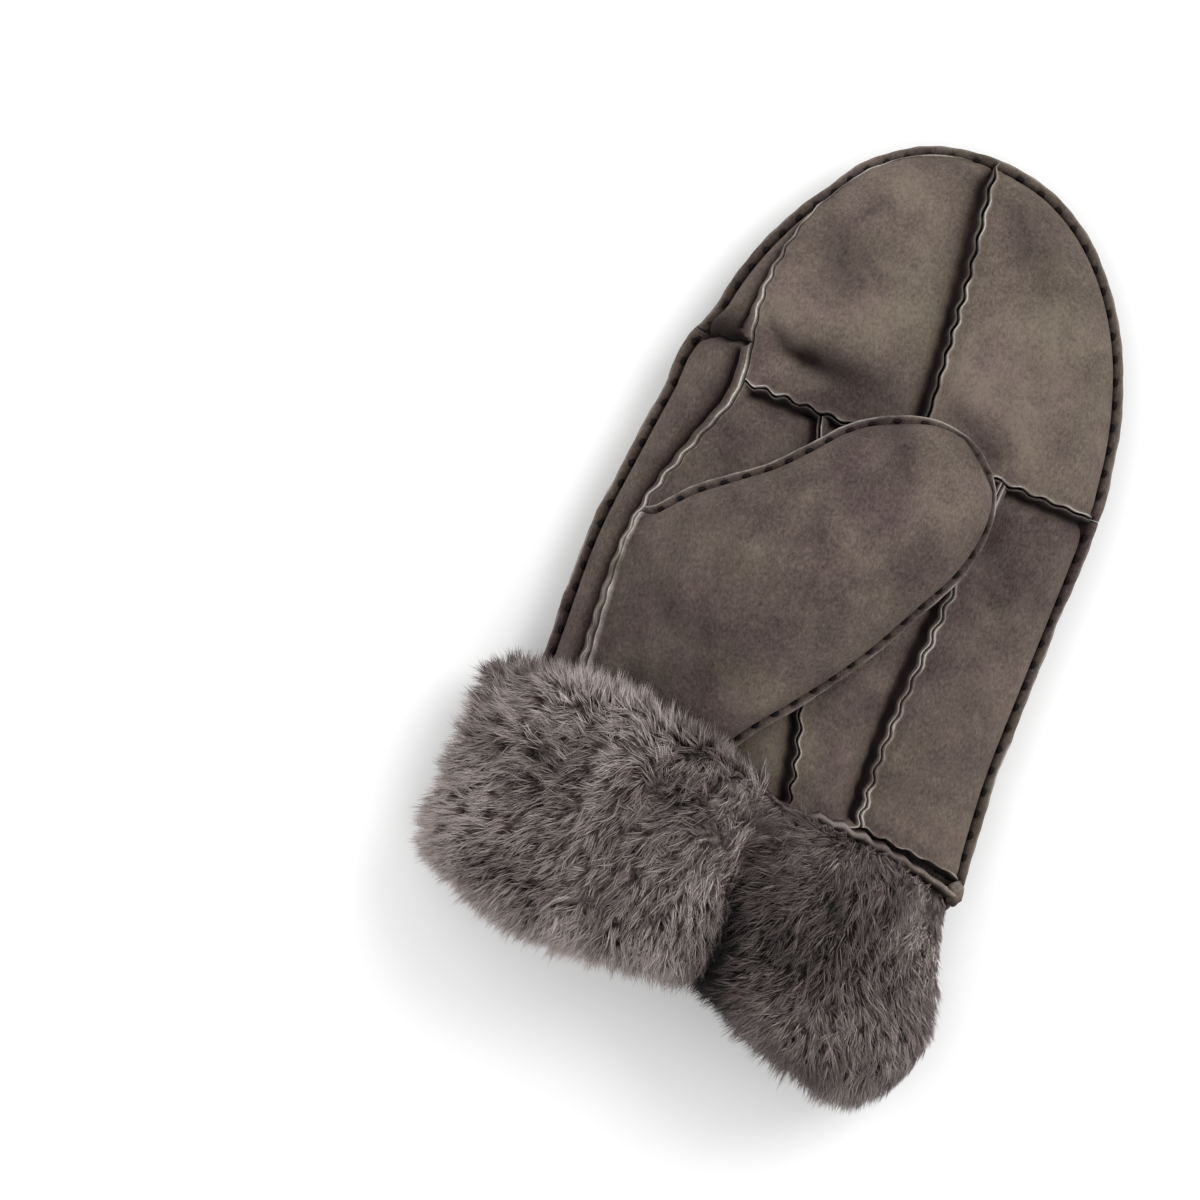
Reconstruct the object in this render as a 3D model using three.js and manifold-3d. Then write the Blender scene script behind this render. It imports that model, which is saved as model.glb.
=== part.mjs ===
import * as THREE from "three";
import Module from "manifold-3d";

// A shearling mitten for the left hand, lying on its back with the palm up and the fur cuff turned back.
// Millimetres. +X points away from the thumb, +Y to the fingertips and +Z up. Everything is worked out from
// the middle of the wrist seam, and at the end the mitten is moved so that the origin is below its middle.

const { clamp, lerp: mix, degToRad, smoothstep } = THREE.MathUtils;

// Body
const handLength = 184.5;
const palmWidth = 123;
const palmThickness = 35;
const edgeSeamHeight = 13;
const bodyWall = 5.5;
const domeStart = 99.6;
const domeRoundness = 2.15;
const tipOffset = 4.5;
const bandSeamRow = 106;
const sideJoinRow = 117;
const wristLift = 10;
const wristLiftLength = 45;

// Outseams: each panel's edge stands out as a thin leaf beside its neighbour's
const seamClearance = 0.4;
const ridgeHeight = 3.2;
const leafThickness = 1.5;
const palmSeamSink = 1.4;

// Thumb
const thumbLength = 119;
const thumbWidth = 66;
const thumbRise = 14;
const thumbSeat = 8;
const thumbWall = 4.5;
const thumbAngle = degToRad(50);
const thumbTopRow = 64;
const thumbFootX = -15;
const thumbReach = new THREE.Vector2(-48, 18.3);

// Cuff
const cuffDrop = 60;
const cuffRise = 18;
const pileDepth = 12;
const turnedLay = ridgeHeight + 1.3;
const creaseX = 7;
const creaseWidth = 8;
const creaseDepth = 0.75;
const lockLift = 3;
const lockOverhang = 6;

// The body's outline and crown, as shares of handLength, palmWidth and palmThickness.
const bodyRows = [
  { along: 0, left: -0.504, right: 0.508, top: 0.96 },
  { along: 0.15, left: -0.512, right: 0.49, top: 1 },
  { along: 0.3, left: -0.515, right: 0.49, top: 1.01 },
  { along: 0.45, left: -0.49, right: 0.494, top: 1 },
  { along: 0.54, left: -0.472, right: 0.496, top: 0.98 },
];

// Where each lengthwise seam lies: along is a share of handLength, turn runs from 0 at the thumb-side
// edge, over the palm or under the back, to 1 at the outer edge.
const seams = {
  thumbEdge: [{ along: 0, turn: 0 }, { along: 1, turn: 0 }],
  outerEdge: [{ along: 0, turn: 1 }, { along: 1, turn: 1 }],
  side: [
    { along: 0, turn: 0.205 },
    { along: 0.25, turn: 0.185 },
    { along: 0.35, turn: 0.188 },
    { along: 0.48, turn: 0.236 },
    { along: 0.575, turn: 0.262 },
    { along: 0.69, turn: 0.223 },
    { along: 0.8, turn: 0.175 },
    { along: 0.94, turn: 0.085 },
    { along: 1, turn: 0.06 },
  ],
  crotch: [
    { along: 0, turn: 0.452 },
    { along: 0.12, turn: 0.395 },
    { along: 0.25, turn: 0.285 },
    { along: 0.315, turn: 0.228 },
    { along: 0.35, turn: 0.185 },
    { along: 0.4, turn: 0.15 },
    { along: 1, turn: 0 },
  ],
  underThumb: [
    { along: 0, turn: 0.566 },
    { along: 0.15, turn: 0.545 },
    { along: 0.575, turn: 0.4 },
  ],
  heel: [{ along: 0, turn: 0.667 }, { along: 0.575, turn: 0.686 }],
  tipMiddle: [
    { along: 0.575, turn: 0.547 },
    { along: 0.78, turn: 0.537 },
    { along: 1, turn: 0.51 },
  ],
  backMiddle: [{ along: 0, turn: 0.53 }, { along: 1, turn: 0.51 }],
};

// The cuff from its thumb-side edge to its outer edge: along is the place across, edge how far the turned
// fur reaches up the hand as a share of cuffRise, fold how far down the cuff turns as a share of cuffDrop,
// and pile the fur's depth as a share of pileDepth.
const cuffRows = [
  { along: 0, edge: 0.72, fold: 0.68, pile: 0.72 },
  { along: 0.2, edge: 0.97, fold: 0.82, pile: 1.05 },
  { along: 0.45, edge: 0.72, fold: 0.79, pile: 1.05 },
  { along: 0.6, edge: 0.32, fold: 0.83, pile: 1 },
  { along: 0.8, edge: 0.05, fold: 0.98, pile: 0.95 },
  { along: 0.92, edge: -0.1, fold: 1, pile: 0.7 },
  { along: 1, edge: -0.38, fold: 0.85, pile: 0.4 },
];

// The thumb past its root. left and right are its edges, each [along, across] as shares of thumbLength and
// thumbWidth. seat is how high the two edges stand over the palm, as shares of thumbSeat, and rise is how
// high the crown stands over them, as a share of thumbRise.
const thumbRows = [
  { left: [0.4, 0.485], right: [0.1, -0.52], seat: [0.75, 0.2], rise: 0.72 },
  { left: [0.49, 0.45], right: [0.25, -0.5], seat: [1, 0.75], rise: 0.9 },
  { left: [0.58, 0.415], right: [0.4, -0.49], seat: [1, 1], rise: 1 },
  { left: [0.67, 0.405], right: [0.55, -0.465], seat: [1, 1], rise: 1 },
  { left: [0.76, 0.4], right: [0.7, -0.41], seat: [1, 1], rise: 0.96 },
  { left: [0.85, 0.355], right: [0.82, -0.36], seat: [1, 1], rise: 0.86 },
  { left: [0.93, 0.265], right: [0.915, -0.27], seat: [1, 1], rise: 0.68 },
  { left: [0.98, 0.145], right: [0.975, -0.15], seat: [1, 1], rise: 0.4 },
  { left: [0.997, 0.05], right: [0.997, -0.055], seat: [1, 1], rise: 0.06 },
];

// A smooth value of one column of a table, read at a share along it.
function read(table, column, share) {
  const last = table.length - 1;
  const at = clamp(share, table[0].along, table[last].along);
  let i = 0;
  while (i < last - 1 && table[i + 1].along < at) i += 1;
  const slope = (k) => {
    const [before, after] = [table[Math.max(k - 1, 0)], table[Math.min(k + 1, last)]];
    return (after[column] - before[column]) / (after.along - before.along);
  };
  const width = table[i + 1].along - table[i].along;
  const t = (at - table[i].along) / width;
  const [start, end] = [table[i][column], table[i + 1][column]];
  return (
    (2 * t ** 3 - 3 * t ** 2 + 1) * start + (t ** 3 - 2 * t ** 2 + t) * width * slope(i) +
    (3 * t ** 2 - 2 * t ** 3) * end + (t ** 3 - t ** 2) * width * slope(i + 1)
  );
}

// The body's section at a row, for a surface that lies depth under the skin.
function bodySection(row, depth) {
  const share = row / handLength;
  const past = clamp((row - domeStart) / (handLength - domeStart), 0, 1);
  const dome = Math.sqrt(Math.max(0, 1 - past ** domeRoundness));
  const crown = read(bodyRows, "top", share) * palmThickness - depth;
  const lift = wristLift * (1 - smoothstep(row, 0, wristLiftLength));
  return {
    y: Math.min(row, domeStart) + past * (handLength - depth - domeStart),
    left: mix(tipOffset, read(bodyRows, "left", share) * palmWidth + depth, dome),
    right: mix(tipOffset, read(bodyRows, "right", share) * palmWidth - depth, dome),
    rise: (crown - edgeSeamHeight) * dome ** 0.8,
    fall: (edgeSeamHeight - lift - depth) * Math.sqrt(dome),
  };
}

const palmCurve = (a) => Math.sqrt(Math.max(0, 1 - Math.abs(a) ** 2.6));
const backCurve = (a) => Math.min(1, 1.04 * Math.max(0, 1 - Math.abs(a) ** 6) ** 0.4);

// A point of the body: side is 1 on the palm and -1 on the back.
function bodyPoint(row, turn, side, depth) {
  const section = bodySection(row, depth);
  const a = -Math.cos(Math.PI * turn);
  const height = side > 0 ? section.rise * palmCurve(a) : -section.fall * backCurve(a);
  return new THREE.Vector3(mix(section.left, section.right, (a + 1) / 2), section.y, edgeSeamHeight + height);
}

// The direction that points out of the body at a point of its skin.
function bodyOut(row, turn, side) {
  return bodyPoint(row, turn, side, 0).sub(bodyPoint(row, turn, side, bodyWall)).normalize();
}

// The turn of the palm at a place seen from above.
function turnAt(x, row) {
  const { left, right } = bodySection(row, 0);
  return Math.acos(-clamp((2 * x - left - right) / (right - left), -1, 1)) / Math.PI;
}

// The turn of a seam at a row. Past the thumb the crotch seam runs into the side seam.
function seamTurn(name, row) {
  const turn = read(seams[name], "turn", row / handLength);
  return name === "crotch" ? Math.max(turn, seamTurn("side", row)) : turn;
}
const sideSeamPoint = (row) => bodyPoint(row, seamTurn("side", row), 1, 0);

// The thumb's two edges and its heights, each a curve through its rows from the side seam to the tip.
function thumbPlan(along, across) {
  const [c, s] = [Math.cos(thumbAngle), Math.sin(thumbAngle)];
  return new THREE.Vector3(thumbReach.x + along * c - across * s, thumbReach.y + along * s + across * c, 0);
}
const flat = (point) => point.clone().setZ(0);
const wristRow = seamClearance;
const thumbRoot = [flat(sideSeamPoint(thumbTopRow)), flat(sideSeamPoint(wristRow))];
const halfFoot = new THREE.Vector3(mix(thumbRoot[1].x, thumbFootX, 0.5), wristRow, 0);
const through = (points) => new THREE.CatmullRomCurve3(points, false, "catmullrom", 0.5);
const edgePoint = ([along, across]) => thumbPlan(along * thumbLength, across * thumbWidth);
const heightPoint = ({ seat, rise }) =>
  new THREE.Vector3(seat[0] * thumbSeat, seat[1] * thumbSeat, rise * thumbRise);
const leftRows = thumbRows.map((row) => edgePoint(row.left));
const rightRows = thumbRows.map((row) => edgePoint(row.right));
const thumbLeft = through([thumbRoot[0], thumbRoot[0].clone().lerp(leftRows[0], 0.45), ...leftRows]);
const thumbRight = through([thumbRoot[1], halfFoot, ...rightRows]);
const rootRows = [{ seat: [0, 0], rise: 0 }, { seat: [0.3, 0], rise: 0.4 }];
const thumbHeights = through([...rootRows, ...thumbRows].map(heightPoint));
const thumbRowCount = thumbRows.length + 1;
const thumbBackStart = 0.25;
const thumbRest = ridgeHeight - palmSeamSink + 4 * seamClearance;

// A point of the thumb: share runs from the side seam to the tip, across from its upper to its lower edge.
function thumbPoint(share, across, isBack, depth) {
  const [left, right, heights] = [thumbLeft, thumbRight, thumbHeights].map((curve) => curve.getPoint(share));
  const w = -Math.cos(Math.PI * across);
  const over = (w + 1) / 2;
  const place = left.clone().lerp(right, over);
  const rootChord = thumbRoot[0].clone().lerp(thumbRoot[1], over);
  const rootBow = flat(sideSeamPoint(mix(thumbTopRow, wristRow, over))).sub(rootChord);
  place.addScaledVector(rootBow, Math.max(0, 1 - share * thumbRowCount));
  const inward = right.clone().sub(left);
  const room = inward.length();
  place.addScaledVector(inward.normalize(), -w * Math.min(depth, 0.45 * room));
  const tipPull = smoothstep(share, 0.75, 1) * depth;
  place.x -= Math.cos(thumbAngle) * tipPull;
  place.y -= Math.sin(thumbAngle) * tipPull;
  const palm = bodyPoint(place.y, turnAt(place.x, place.y), 1, 0).z;
  const seat = mix(heights.x, heights.y, over);
  const crown = palmCurve(w);
  const lens = isBack
    ? -Math.max(0, seat - thumbRest - depth) * crown
    : Math.max(0.3, heights.z - Math.min(depth, 0.8 * heights.z)) * crown;
  place.z = palm + seat + lens;
  return place;
}

// Near the side seam the thumb's wall turns with the body's and thins to the leather, clear of the palm's.
function thumbFrontPoint(share, across, depth) {
  const skin = thumbPoint(share, across, false, 0);
  const row = clamp(skin.y, 0, handLength);
  const turn = turnAt(skin.x, row);
  const height = skin.z - bodyPoint(row, turn, 1, 0).z;
  const thinned = Math.min(depth, Math.max(leafThickness, height - seamClearance));
  const sewn = skin.clone().addScaledVector(bodyOut(row, turn, 1), -thinned);
  return sewn.lerp(thumbPoint(share, across, false, thinned), smoothstep(share, 0, 0.2));
}

// The height of the thumb's skin above a place of the palm near the wrist, or 0 beside the thumb.
function thumbCover(x, y) {
  let cover = 0;
  for (let i = 0; i <= 24; i += 1)
    for (let j = 0; j <= 24; j += 1) {
      const point = thumbPoint((0.45 * i) / 24, j / 24, false, 0);
      const near = Math.hypot(point.x - x, point.y - y);
      if (near < 4) cover = Math.max(cover, point.z - bodyPoint(y, turnAt(x, y), 1, 0).z);
    }
  return cover;
}

// A closed mesh from points and faces, with points that coincide made one and faces without area left out.
function meshGeometry(points, faces) {
  const found = new Map();
  const kept = [];
  const index = points.map((p) => {
    const key = [p.x, p.y, p.z].map((value) => Math.round(value * 1000)).join();
    if (!found.has(key)) {
      found.set(key, kept.length);
      kept.push(p);
    }
    return found.get(key);
  });
  const whole = faces
    .map((face) => face.map((i) => index[i]))
    .filter(([a, b, c]) => a !== b && b !== c && c !== a);
  const geometry = new THREE.BufferGeometry().setFromPoints(kept);
  geometry.setIndex(whole.flat());
  return geometry;
}

// A panel of skin and wool. point(p, q, depth) gives its surface for p and q from 0 to 1. Its outer face
// stops a leaf's thickness short of each border, where the leaf stands out of the seam, and ridge gives the
// leaf's height on the sides p = 0, p = 1, q = 0 and q = 1.
function sewnPanel(point, panel) {
  const { columns, rows, sink = palmSeamSink, ridge = [1, 1, 1, 1], wall = bodyWall, back = false } = panel;
  const reach = 0.002;
  const speedP = (p, q) => point(p, q, 0).distanceTo(point(p < 0.5 ? p + reach : p - reach, q, 0)) / reach;
  const speedQ = (p, q) => point(p, q, 0).distanceTo(point(p, q < 0.5 ? q + reach : q - reach, 0)) / reach;
  const inset = (length, speed) => Math.min(length / speed, 0.3);
  const gap = seamClearance / 2;
  const at = (i, j, length) => {
    let [p, q] = [i / columns, j / rows];
    const [startP, startQ] = [p, q];
    if (i === 0) p = inset(length, speedP(0, startQ));
    if (i === columns) p = 1 - inset(length, speedP(1, startQ));
    if (j === 0) q = inset(length, speedQ(startP, 0));
    if (j === rows) q = 1 - inset(length, speedQ(startP, 1));
    return [p, q];
  };
  const outward = (p, q) => point(p, q, 0).sub(point(p, q, wall)).normalize();
  const skin = (p, q, height) => point(p, q, 0).addScaledVector(outward(p, q), height);
  const border = (i, j) => i === 0 || j === 0 || i === columns || j === rows;
  const ridgeAt = (i, j) => {
    const sides = [i === 0, i === columns, j === 0, j === rows];
    return Math.max(...ridge.filter((_, side) => sides[side]));
  };
  const points = [];
  const [outer, inner] = [[], []];
  for (let j = 0; j <= rows; j += 1)
    for (let i = 0; i <= columns; i += 1) {
      const edge = border(i, j);
      outer.push(points.push(skin(...at(i, j, gap + leafThickness), edge ? -sink : 0)) - 1);
      inner.push(points.push(point(...at(i, j, gap), wall)) - 1);
    }
  const place = (i, j) => j * (columns + 1) + i;
  const loop = [];
  for (let i = 0; i < columns; i += 1) loop.push([i, 0]);
  for (let j = 0; j < rows; j += 1) loop.push([columns, j]);
  for (let i = columns; i > 0; i -= 1) loop.push([i, rows]);
  for (let j = rows; j > 0; j -= 1) loop.push([0, j]);
  const raised = (length) =>
    loop.map(([i, j]) => points.push(skin(...at(i, j, length), ridgeHeight * ridgeAt(i, j) - sink)) - 1);
  const loops = [
    loop.map(([i, j]) => outer[place(i, j)]),
    raised(gap + leafThickness),
    raised(gap),
    loop.map(([i, j]) => inner[place(i, j)]),
  ];
  const faces = [];
  const quad = (a, b, c, d) => faces.push([a, b, c], [a, c, d]);
  for (let j = 0; j < rows; j += 1)
    for (let i = 0; i < columns; i += 1) {
      const corners = [place(i, j), place(i + 1, j), place(i + 1, j + 1), place(i, j + 1)];
      quad(...corners.map((k) => outer[k]));
      quad(...corners.reverse().map((k) => inner[k]));
    }
  for (let k = 0; k < 3; k += 1)
    loop.forEach((_, n) => {
      const next = (n + 1) % loop.length;
      quad(loops[k][next], loops[k][n], loops[k + 1][n], loops[k + 1][next]);
    });
  return meshGeometry(points, back ? faces.map(([a, b, c]) => [a, c, b]) : faces);
}

// The rows of a panel: even along the hand, and along the dome's curve past domeStart.
function rowsBetween(start, end) {
  if (end < handLength) return (q) => mix(start, end, q);
  const first = Math.asin(clamp((start - domeStart) / (handLength - domeStart), 0, 1));
  const last = 0.985 * (Math.PI / 2);
  return (q) => domeStart + (handLength - domeStart) * Math.sin(mix(first, last, q));
}

function bodyPanel({ side, from, to, start, end, ...rest }) {
  const rowAt = rowsBetween(start, end);
  const point = (p, q, depth) => {
    const row = rowAt(q);
    return bodyPoint(row, mix(seamTurn(from, row), seamTurn(to, row), p), side, depth);
  };
  return sewnPanel(point, { back: side < 0, sink: side < 0 ? ridgeHeight : palmSeamSink, ...rest });
}

// Cuff: a place round the wrist is a share from 0 at the thumb-side edge, over the palm and back underneath.
function wristFrame(around, along) {
  const side = around < 0.5 ? 1 : -1;
  const turn = around < 0.5 ? 2 * around : 2 * (1 - around);
  const row = Math.max(along, 0);
  const base = bodyPoint(row, turn, side, 0);
  base.y = along;
  return { base, out: bodyOut(row, turn, side), side };
}

// The cuff's profile at a place round the wrist, from the wool inside the mouth, round the fold and up to the
// turned-back edge. out is measured from the wrist's skin, and along from the wrist seam.
const coverSteps = 64;
const covers = Array.from({ length: coverSteps / 2 + 1 }, (_, i) =>
  thumbCover(wristFrame(i / coverSteps, 0).base.x, cuffRise));
const coverAt = (around) => (around < 0.5 ? covers[Math.round(around * coverSteps)] : 0);

function cuffProfile(around) {
  const { base, side } = wristFrame(around, 0);
  const across = clamp(base.x / palmWidth + 0.5, 0, 1);
  const crease = side > 0 ? Math.exp(-(((base.x - creaseX) / creaseWidth) ** 2)) : 0;
  const edge = cuffRise * read(cuffRows, "edge", across);
  const fold = -cuffDrop * read(cuffRows, "fold", across) * (1 - 0.1 * crease);
  const pile = pileDepth * read(cuffRows, "pile", across) * (1 - creaseDepth * crease);
  const over = side > 0 ? coverAt(around) * 0.8 : 0;
  return [
    [-bodyWall, -seamClearance],
    [-bodyWall, 0.45 * fold],
    [-bodyWall * 1.05, 0.75 * fold],
    [-bodyWall * 0.5, 0.92 * fold],
    [(turnedLay + pile) * 0.35, fold],
    [(turnedLay + pile) * 0.8, 0.97 * fold],
    [turnedLay + pile, 0.82 * fold],
    [turnedLay + pile * 1.06, 0.5 * fold],
    [turnedLay + pile + 0.6 * over, 0.15 * fold],
    [turnedLay + pile * 0.85 + over, mix(0.15 * fold, edge, 0.7)],
    [turnedLay + pile * 0.4 + over, edge],
    [turnedLay + 0.2, edge - 2],
    [turnedLay, Math.min(edge - 4, -seamClearance - leafThickness)],
    [ridgeHeight, Math.min(edge - 4, -seamClearance - leafThickness)],
    [ridgeHeight, -seamClearance],
  ].map(([out, along]) => new THREE.Vector2(out, along));
}

function cuffPoint(around, out, along) {
  const frame = wristFrame(around, along);
  return frame.base.addScaledVector(frame.out, out);
}

function cuffRing(columns) {
  const points = [];
  const faces = [];
  const count = cuffProfile(0).length;
  for (let i = 0; i < columns; i += 1)
    cuffProfile(i / columns).forEach((row) => points.push(cuffPoint(i / columns, row.x, row.y)));
  for (let i = 0; i < columns; i += 1)
    for (let j = 0; j < count; j += 1) {
      const [a, b] = [i * count, ((i + 1) % columns) * count];
      const next = (j + 1) % count;
      faces.push([a + j, b + next, a + next], [a + j, b + j, b + next]);
    }
  return meshGeometry(points, faces);
}

// One lock of wool: it leaves the pile at a place round the cuff and tapers along the profile to a point.
// The path runs from above the turned-back edge down to the fold and in at the mouth; a lock with a
// negative length points up the hand.
function woolLock(around, start, length, width, drift) {
  const profile = cuffProfile(around).slice(1, 12).reverse();
  const overhang = profile[1].clone().add(new THREE.Vector2(-1, lockOverhang));
  const curve = new THREE.SplineCurve([overhang, ...profile.slice(1)]);
  const facing = Math.sign(length);
  const spot = (offAround, along, height) => {
    const at = clamp(start + along, 0, 1);
    const row = curve.getPoint(at);
    const tangent = curve.getTangent(at);
    row.add(new THREE.Vector2(-tangent.y, tangent.x).multiplyScalar(height));
    if (row.y > -ridgeHeight) row.x = Math.max(row.x, turnedLay + seamClearance);
    return cuffPoint((around + facing * offAround + drift * along + 1) % 1, row.x, row.y);
  };
  const ring = (along, half, lift) => [
    spot(-half, along, -1), spot(0, along, lift), spot(half, along, -1), spot(0, along, -5),
  ];
  const points = [...ring(0, width * 0.4, 0.5), ...ring(length * 0.5, width * 0.5, lockLift)];
  points.push(spot(0, length, lockLift * 0.7));
  const faces = [[0, 1, 2], [0, 2, 3], ...[0, 1, 2, 3].map((k) => [4 + k, 8, 4 + ((k + 1) % 4)])];
  for (let k = 0; k < 4; k += 1) {
    const next = (k + 1) % 4;
    faces.push([k, 4 + k, 4 + next], [k, 4 + next, next]);
  }
  return meshGeometry(points, faces);
}

// A geometry with the corners that coincide joined, on a grid of a thousandth of a millimetre.
function merged(geometry) {
  const { position } = geometry.attributes;
  const snap = (value) => Math.round(value * 1000) / 1000;
  const points = Array.from({ length: position.count }, (_, i) =>
    new THREE.Vector3(snap(position.getX(i)), snap(position.getY(i)), snap(position.getZ(i))));
  const index = Array.from(geometry.index.array);
  return meshGeometry(points, index.flatMap((_, i) => (i % 3 ? [] : [index.slice(i, i + 3)])));
}

const wasm = await Module();
wasm.setup();

function solidOf(geometry) {
  const mesh = new wasm.Mesh({
    numProp: 3,
    vertProperties: new Float32Array(geometry.attributes.position.array),
    triVerts: new Uint32Array(geometry.index.array),
  });
  return new wasm.Manifold(mesh);
}

function geometryOf(solid) {
  const mesh = solid.getMesh();
  return new THREE.BufferGeometry()
    .setAttribute("position", new THREE.BufferAttribute(mesh.vertProperties, 3))
    .setIndex(new THREE.BufferAttribute(mesh.triVerts, 1));
}

const suede = new THREE.MeshStandardMaterial({ color: 0x5f574d, roughness: 0.95, metalness: 0 });
const wool = new THREE.MeshStandardMaterial({ color: 0x59524d, roughness: 1, metalness: 0 });
const mitten = new THREE.Group();

function add(name, geometry, material) {
  const mesh = new THREE.Mesh(geometry, material);
  mesh.name = name;
  mitten.add(mesh);
}

// Palm, side and back: the thumb-side strip is in two lengths, and the tip and the back are in halves.
const palmLow = { side: 1, start: 0, end: bandSeamRow, rows: 9 };
const palmTip = { side: 1, start: bandSeamRow, end: handLength, rows: 8 };
const backLow = { ...palmLow, side: -1 };
const backTip = { ...palmTip, side: -1 };
const strip = { side: 1, from: "thumbEdge", to: "side", columns: 3 };
const panels = {
  palm_low_thumb_side: { ...palmLow, from: "crotch", to: "underThumb", columns: 3, ridge: [0.3, 1, 1, 1] },
  palm_low_middle: { ...palmLow, from: "underThumb", to: "heel", columns: 3 },
  palm_low_outer: { ...palmLow, from: "heel", to: "outerEdge", columns: 5 },
  palm_tip_thumb_side: { ...palmTip, from: "side", to: "tipMiddle", columns: 5 },
  palm_tip_outer: { ...palmTip, from: "tipMiddle", to: "outerEdge", columns: 6 },
  side_strip_low: { ...strip, start: 0, end: sideJoinRow, rows: 10 },
  side_strip_tip: { ...strip, start: sideJoinRow, end: handLength, rows: 8 },
  back_low_thumb_side: { ...backLow, from: "thumbEdge", to: "backMiddle", columns: 6 },
  back_low_outer: { ...backLow, from: "backMiddle", to: "outerEdge", columns: 7 },
  back_tip_thumb_side: { ...backTip, from: "thumbEdge", to: "backMiddle", columns: 6 },
  back_tip_outer: { ...backTip, from: "backMiddle", to: "outerEdge", columns: 6 },
};
for (const [name, panel] of Object.entries(panels)) add(name, bodyPanel(panel), suede);

// Thumb: a front with its wall, and the half of a back that stands free of the palm.
const frontPoint = (p, q, depth) => thumbFrontPoint(q, p, depth);
const backPoint = (p, q, depth) => thumbPoint(mix(thumbBackStart, 1, q), p, true, depth);
const thumbBack = { columns: 6, rows: 12, sink: 0.3, ridge: [1, 1, 0.1, 1], wall: thumbWall, back: true };
add("thumb_front", sewnPanel(frontPoint, { columns: 8, rows: 16, sink: 0.6, wall: thumbWall }), suede);
add("thumb_back", sewnPanel(backPoint, thumbBack), suede);

// The room that the thumb takes up in the fur: its skin raised by turnedLay, down to the edge seam's height.
function thumbRoom(size, reach) {
  const points = [];
  const faces = [];
  for (let j = 0; j <= size; j += 1)
    for (let i = 0; i <= size; i += 1) {
      const [share, across] = [(reach * j) / size, i / size];
      const skin = thumbFrontPoint(share, across, 0);
      const out = skin.clone().sub(thumbFrontPoint(share, across, thumbWall)).normalize();
      const top = skin.addScaledVector(out, turnedLay);
      points.push(top, top.clone().setZ(edgeSeamHeight));
    }
  const step = 2 * (size + 1);
  for (let j = 0; j < size; j += 1)
    for (let i = 0; i < size; i += 1) {
      const a = j * step + 2 * i;
      const b = a + step;
      faces.push([a, a + 2, b + 2], [a, b + 2, b], [a + 1, b + 3, a + 3], [a + 1, b + 1, b + 3]);
    }
  for (let i = 0; i < size; i += 1) {
    const [low, high] = [2 * i, size * step + 2 * i];
    const [left, right] = [i * step, i * step + 2 * size];
    faces.push([low, low + 1, low + 3], [low, low + 3, low + 2]);
    faces.push([high, high + 3, high + 1], [high, high + 2, high + 3]);
    faces.push([left, left + step + 1, left + 1], [left, left + step, left + step + 1]);
    faces.push([right, right + 1, right + step + 1], [right, right + step + 1, right + step]);
  }
  return meshGeometry(points, faces);
}

// The fur cuff: a ring of pile with its locks, cut off at the table and clear of the thumb that it lies over.
// The first row of locks points up the hand. The last two go on under the cuff.
const lockRows = 5;
const lockColumns = 25;
const locks = [];
for (let j = 0; j < lockRows; j += 1)
  for (let i = -1; i <= (j < 3 ? 0.55 : 0.95) * lockColumns; i += 1) {
    const around = ((i + 0.5 * (j % 2)) / lockColumns + 1) % 1;
    const [start, length] = j ? [0.02 + 0.16 * j, 0.23] : [0.17, -0.15];
    locks.push(woolLock(around, start, length, 1.1 / lockColumns, around < 0.28 ? -0.06 : 0.03));
  }
const table = new THREE.BoxGeometry(2 * palmWidth, 3 * cuffDrop, palmThickness);
table.translate(0, 0, -palmThickness / 2);
const ring = solidOf(cuffRing(48));
const furred = locks.reduce((solid, lock) => solid.add(solidOf(lock)), ring);
const pile = furred.subtract(solidOf(merged(table))).subtract(solidOf(thumbRoom(14, 0.6)));
const largest = (solid) => solid.decompose().sort((a, b) => b.volume() - a.volume())[0];
const fur = largest(solidOf(merged(geometryOf(largest(pile.simplify(0.05))))));
add("fur_cuff", geometryOf(fur), wool);

const box = new THREE.Box3().setFromObject(mitten);
const middle = box.getCenter(new THREE.Vector3()).setZ(box.min.z);
mitten.position.copy(middle.multiplyScalar(-1000).round().divideScalar(1000));

export default mitten;
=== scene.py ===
import math
import bpy
import numpy as np
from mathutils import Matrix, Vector


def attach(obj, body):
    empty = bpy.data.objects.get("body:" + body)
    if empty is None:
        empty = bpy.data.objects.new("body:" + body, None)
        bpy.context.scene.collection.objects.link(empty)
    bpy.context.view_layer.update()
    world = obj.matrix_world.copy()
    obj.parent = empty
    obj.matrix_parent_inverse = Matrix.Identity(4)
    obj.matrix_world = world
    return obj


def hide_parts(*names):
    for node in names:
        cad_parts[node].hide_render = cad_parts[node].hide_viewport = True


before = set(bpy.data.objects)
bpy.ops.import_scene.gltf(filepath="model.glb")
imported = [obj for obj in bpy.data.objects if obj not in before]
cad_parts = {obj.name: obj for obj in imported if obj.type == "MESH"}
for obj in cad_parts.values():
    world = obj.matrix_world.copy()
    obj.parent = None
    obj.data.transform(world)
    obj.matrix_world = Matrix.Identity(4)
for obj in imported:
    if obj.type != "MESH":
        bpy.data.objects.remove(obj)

# Left-hand sheepskin mitten, palm up. Lengths in the settings are millimetres from the middle of the wrist
# seam: x away from the thumb, y to the fingertips, z up. wristSpot moves them into the part's frame.
wristSpot = np.array([1.831, -62.192, 0.0])
toMetres = .001
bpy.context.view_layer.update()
print("frame loaded")

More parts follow.
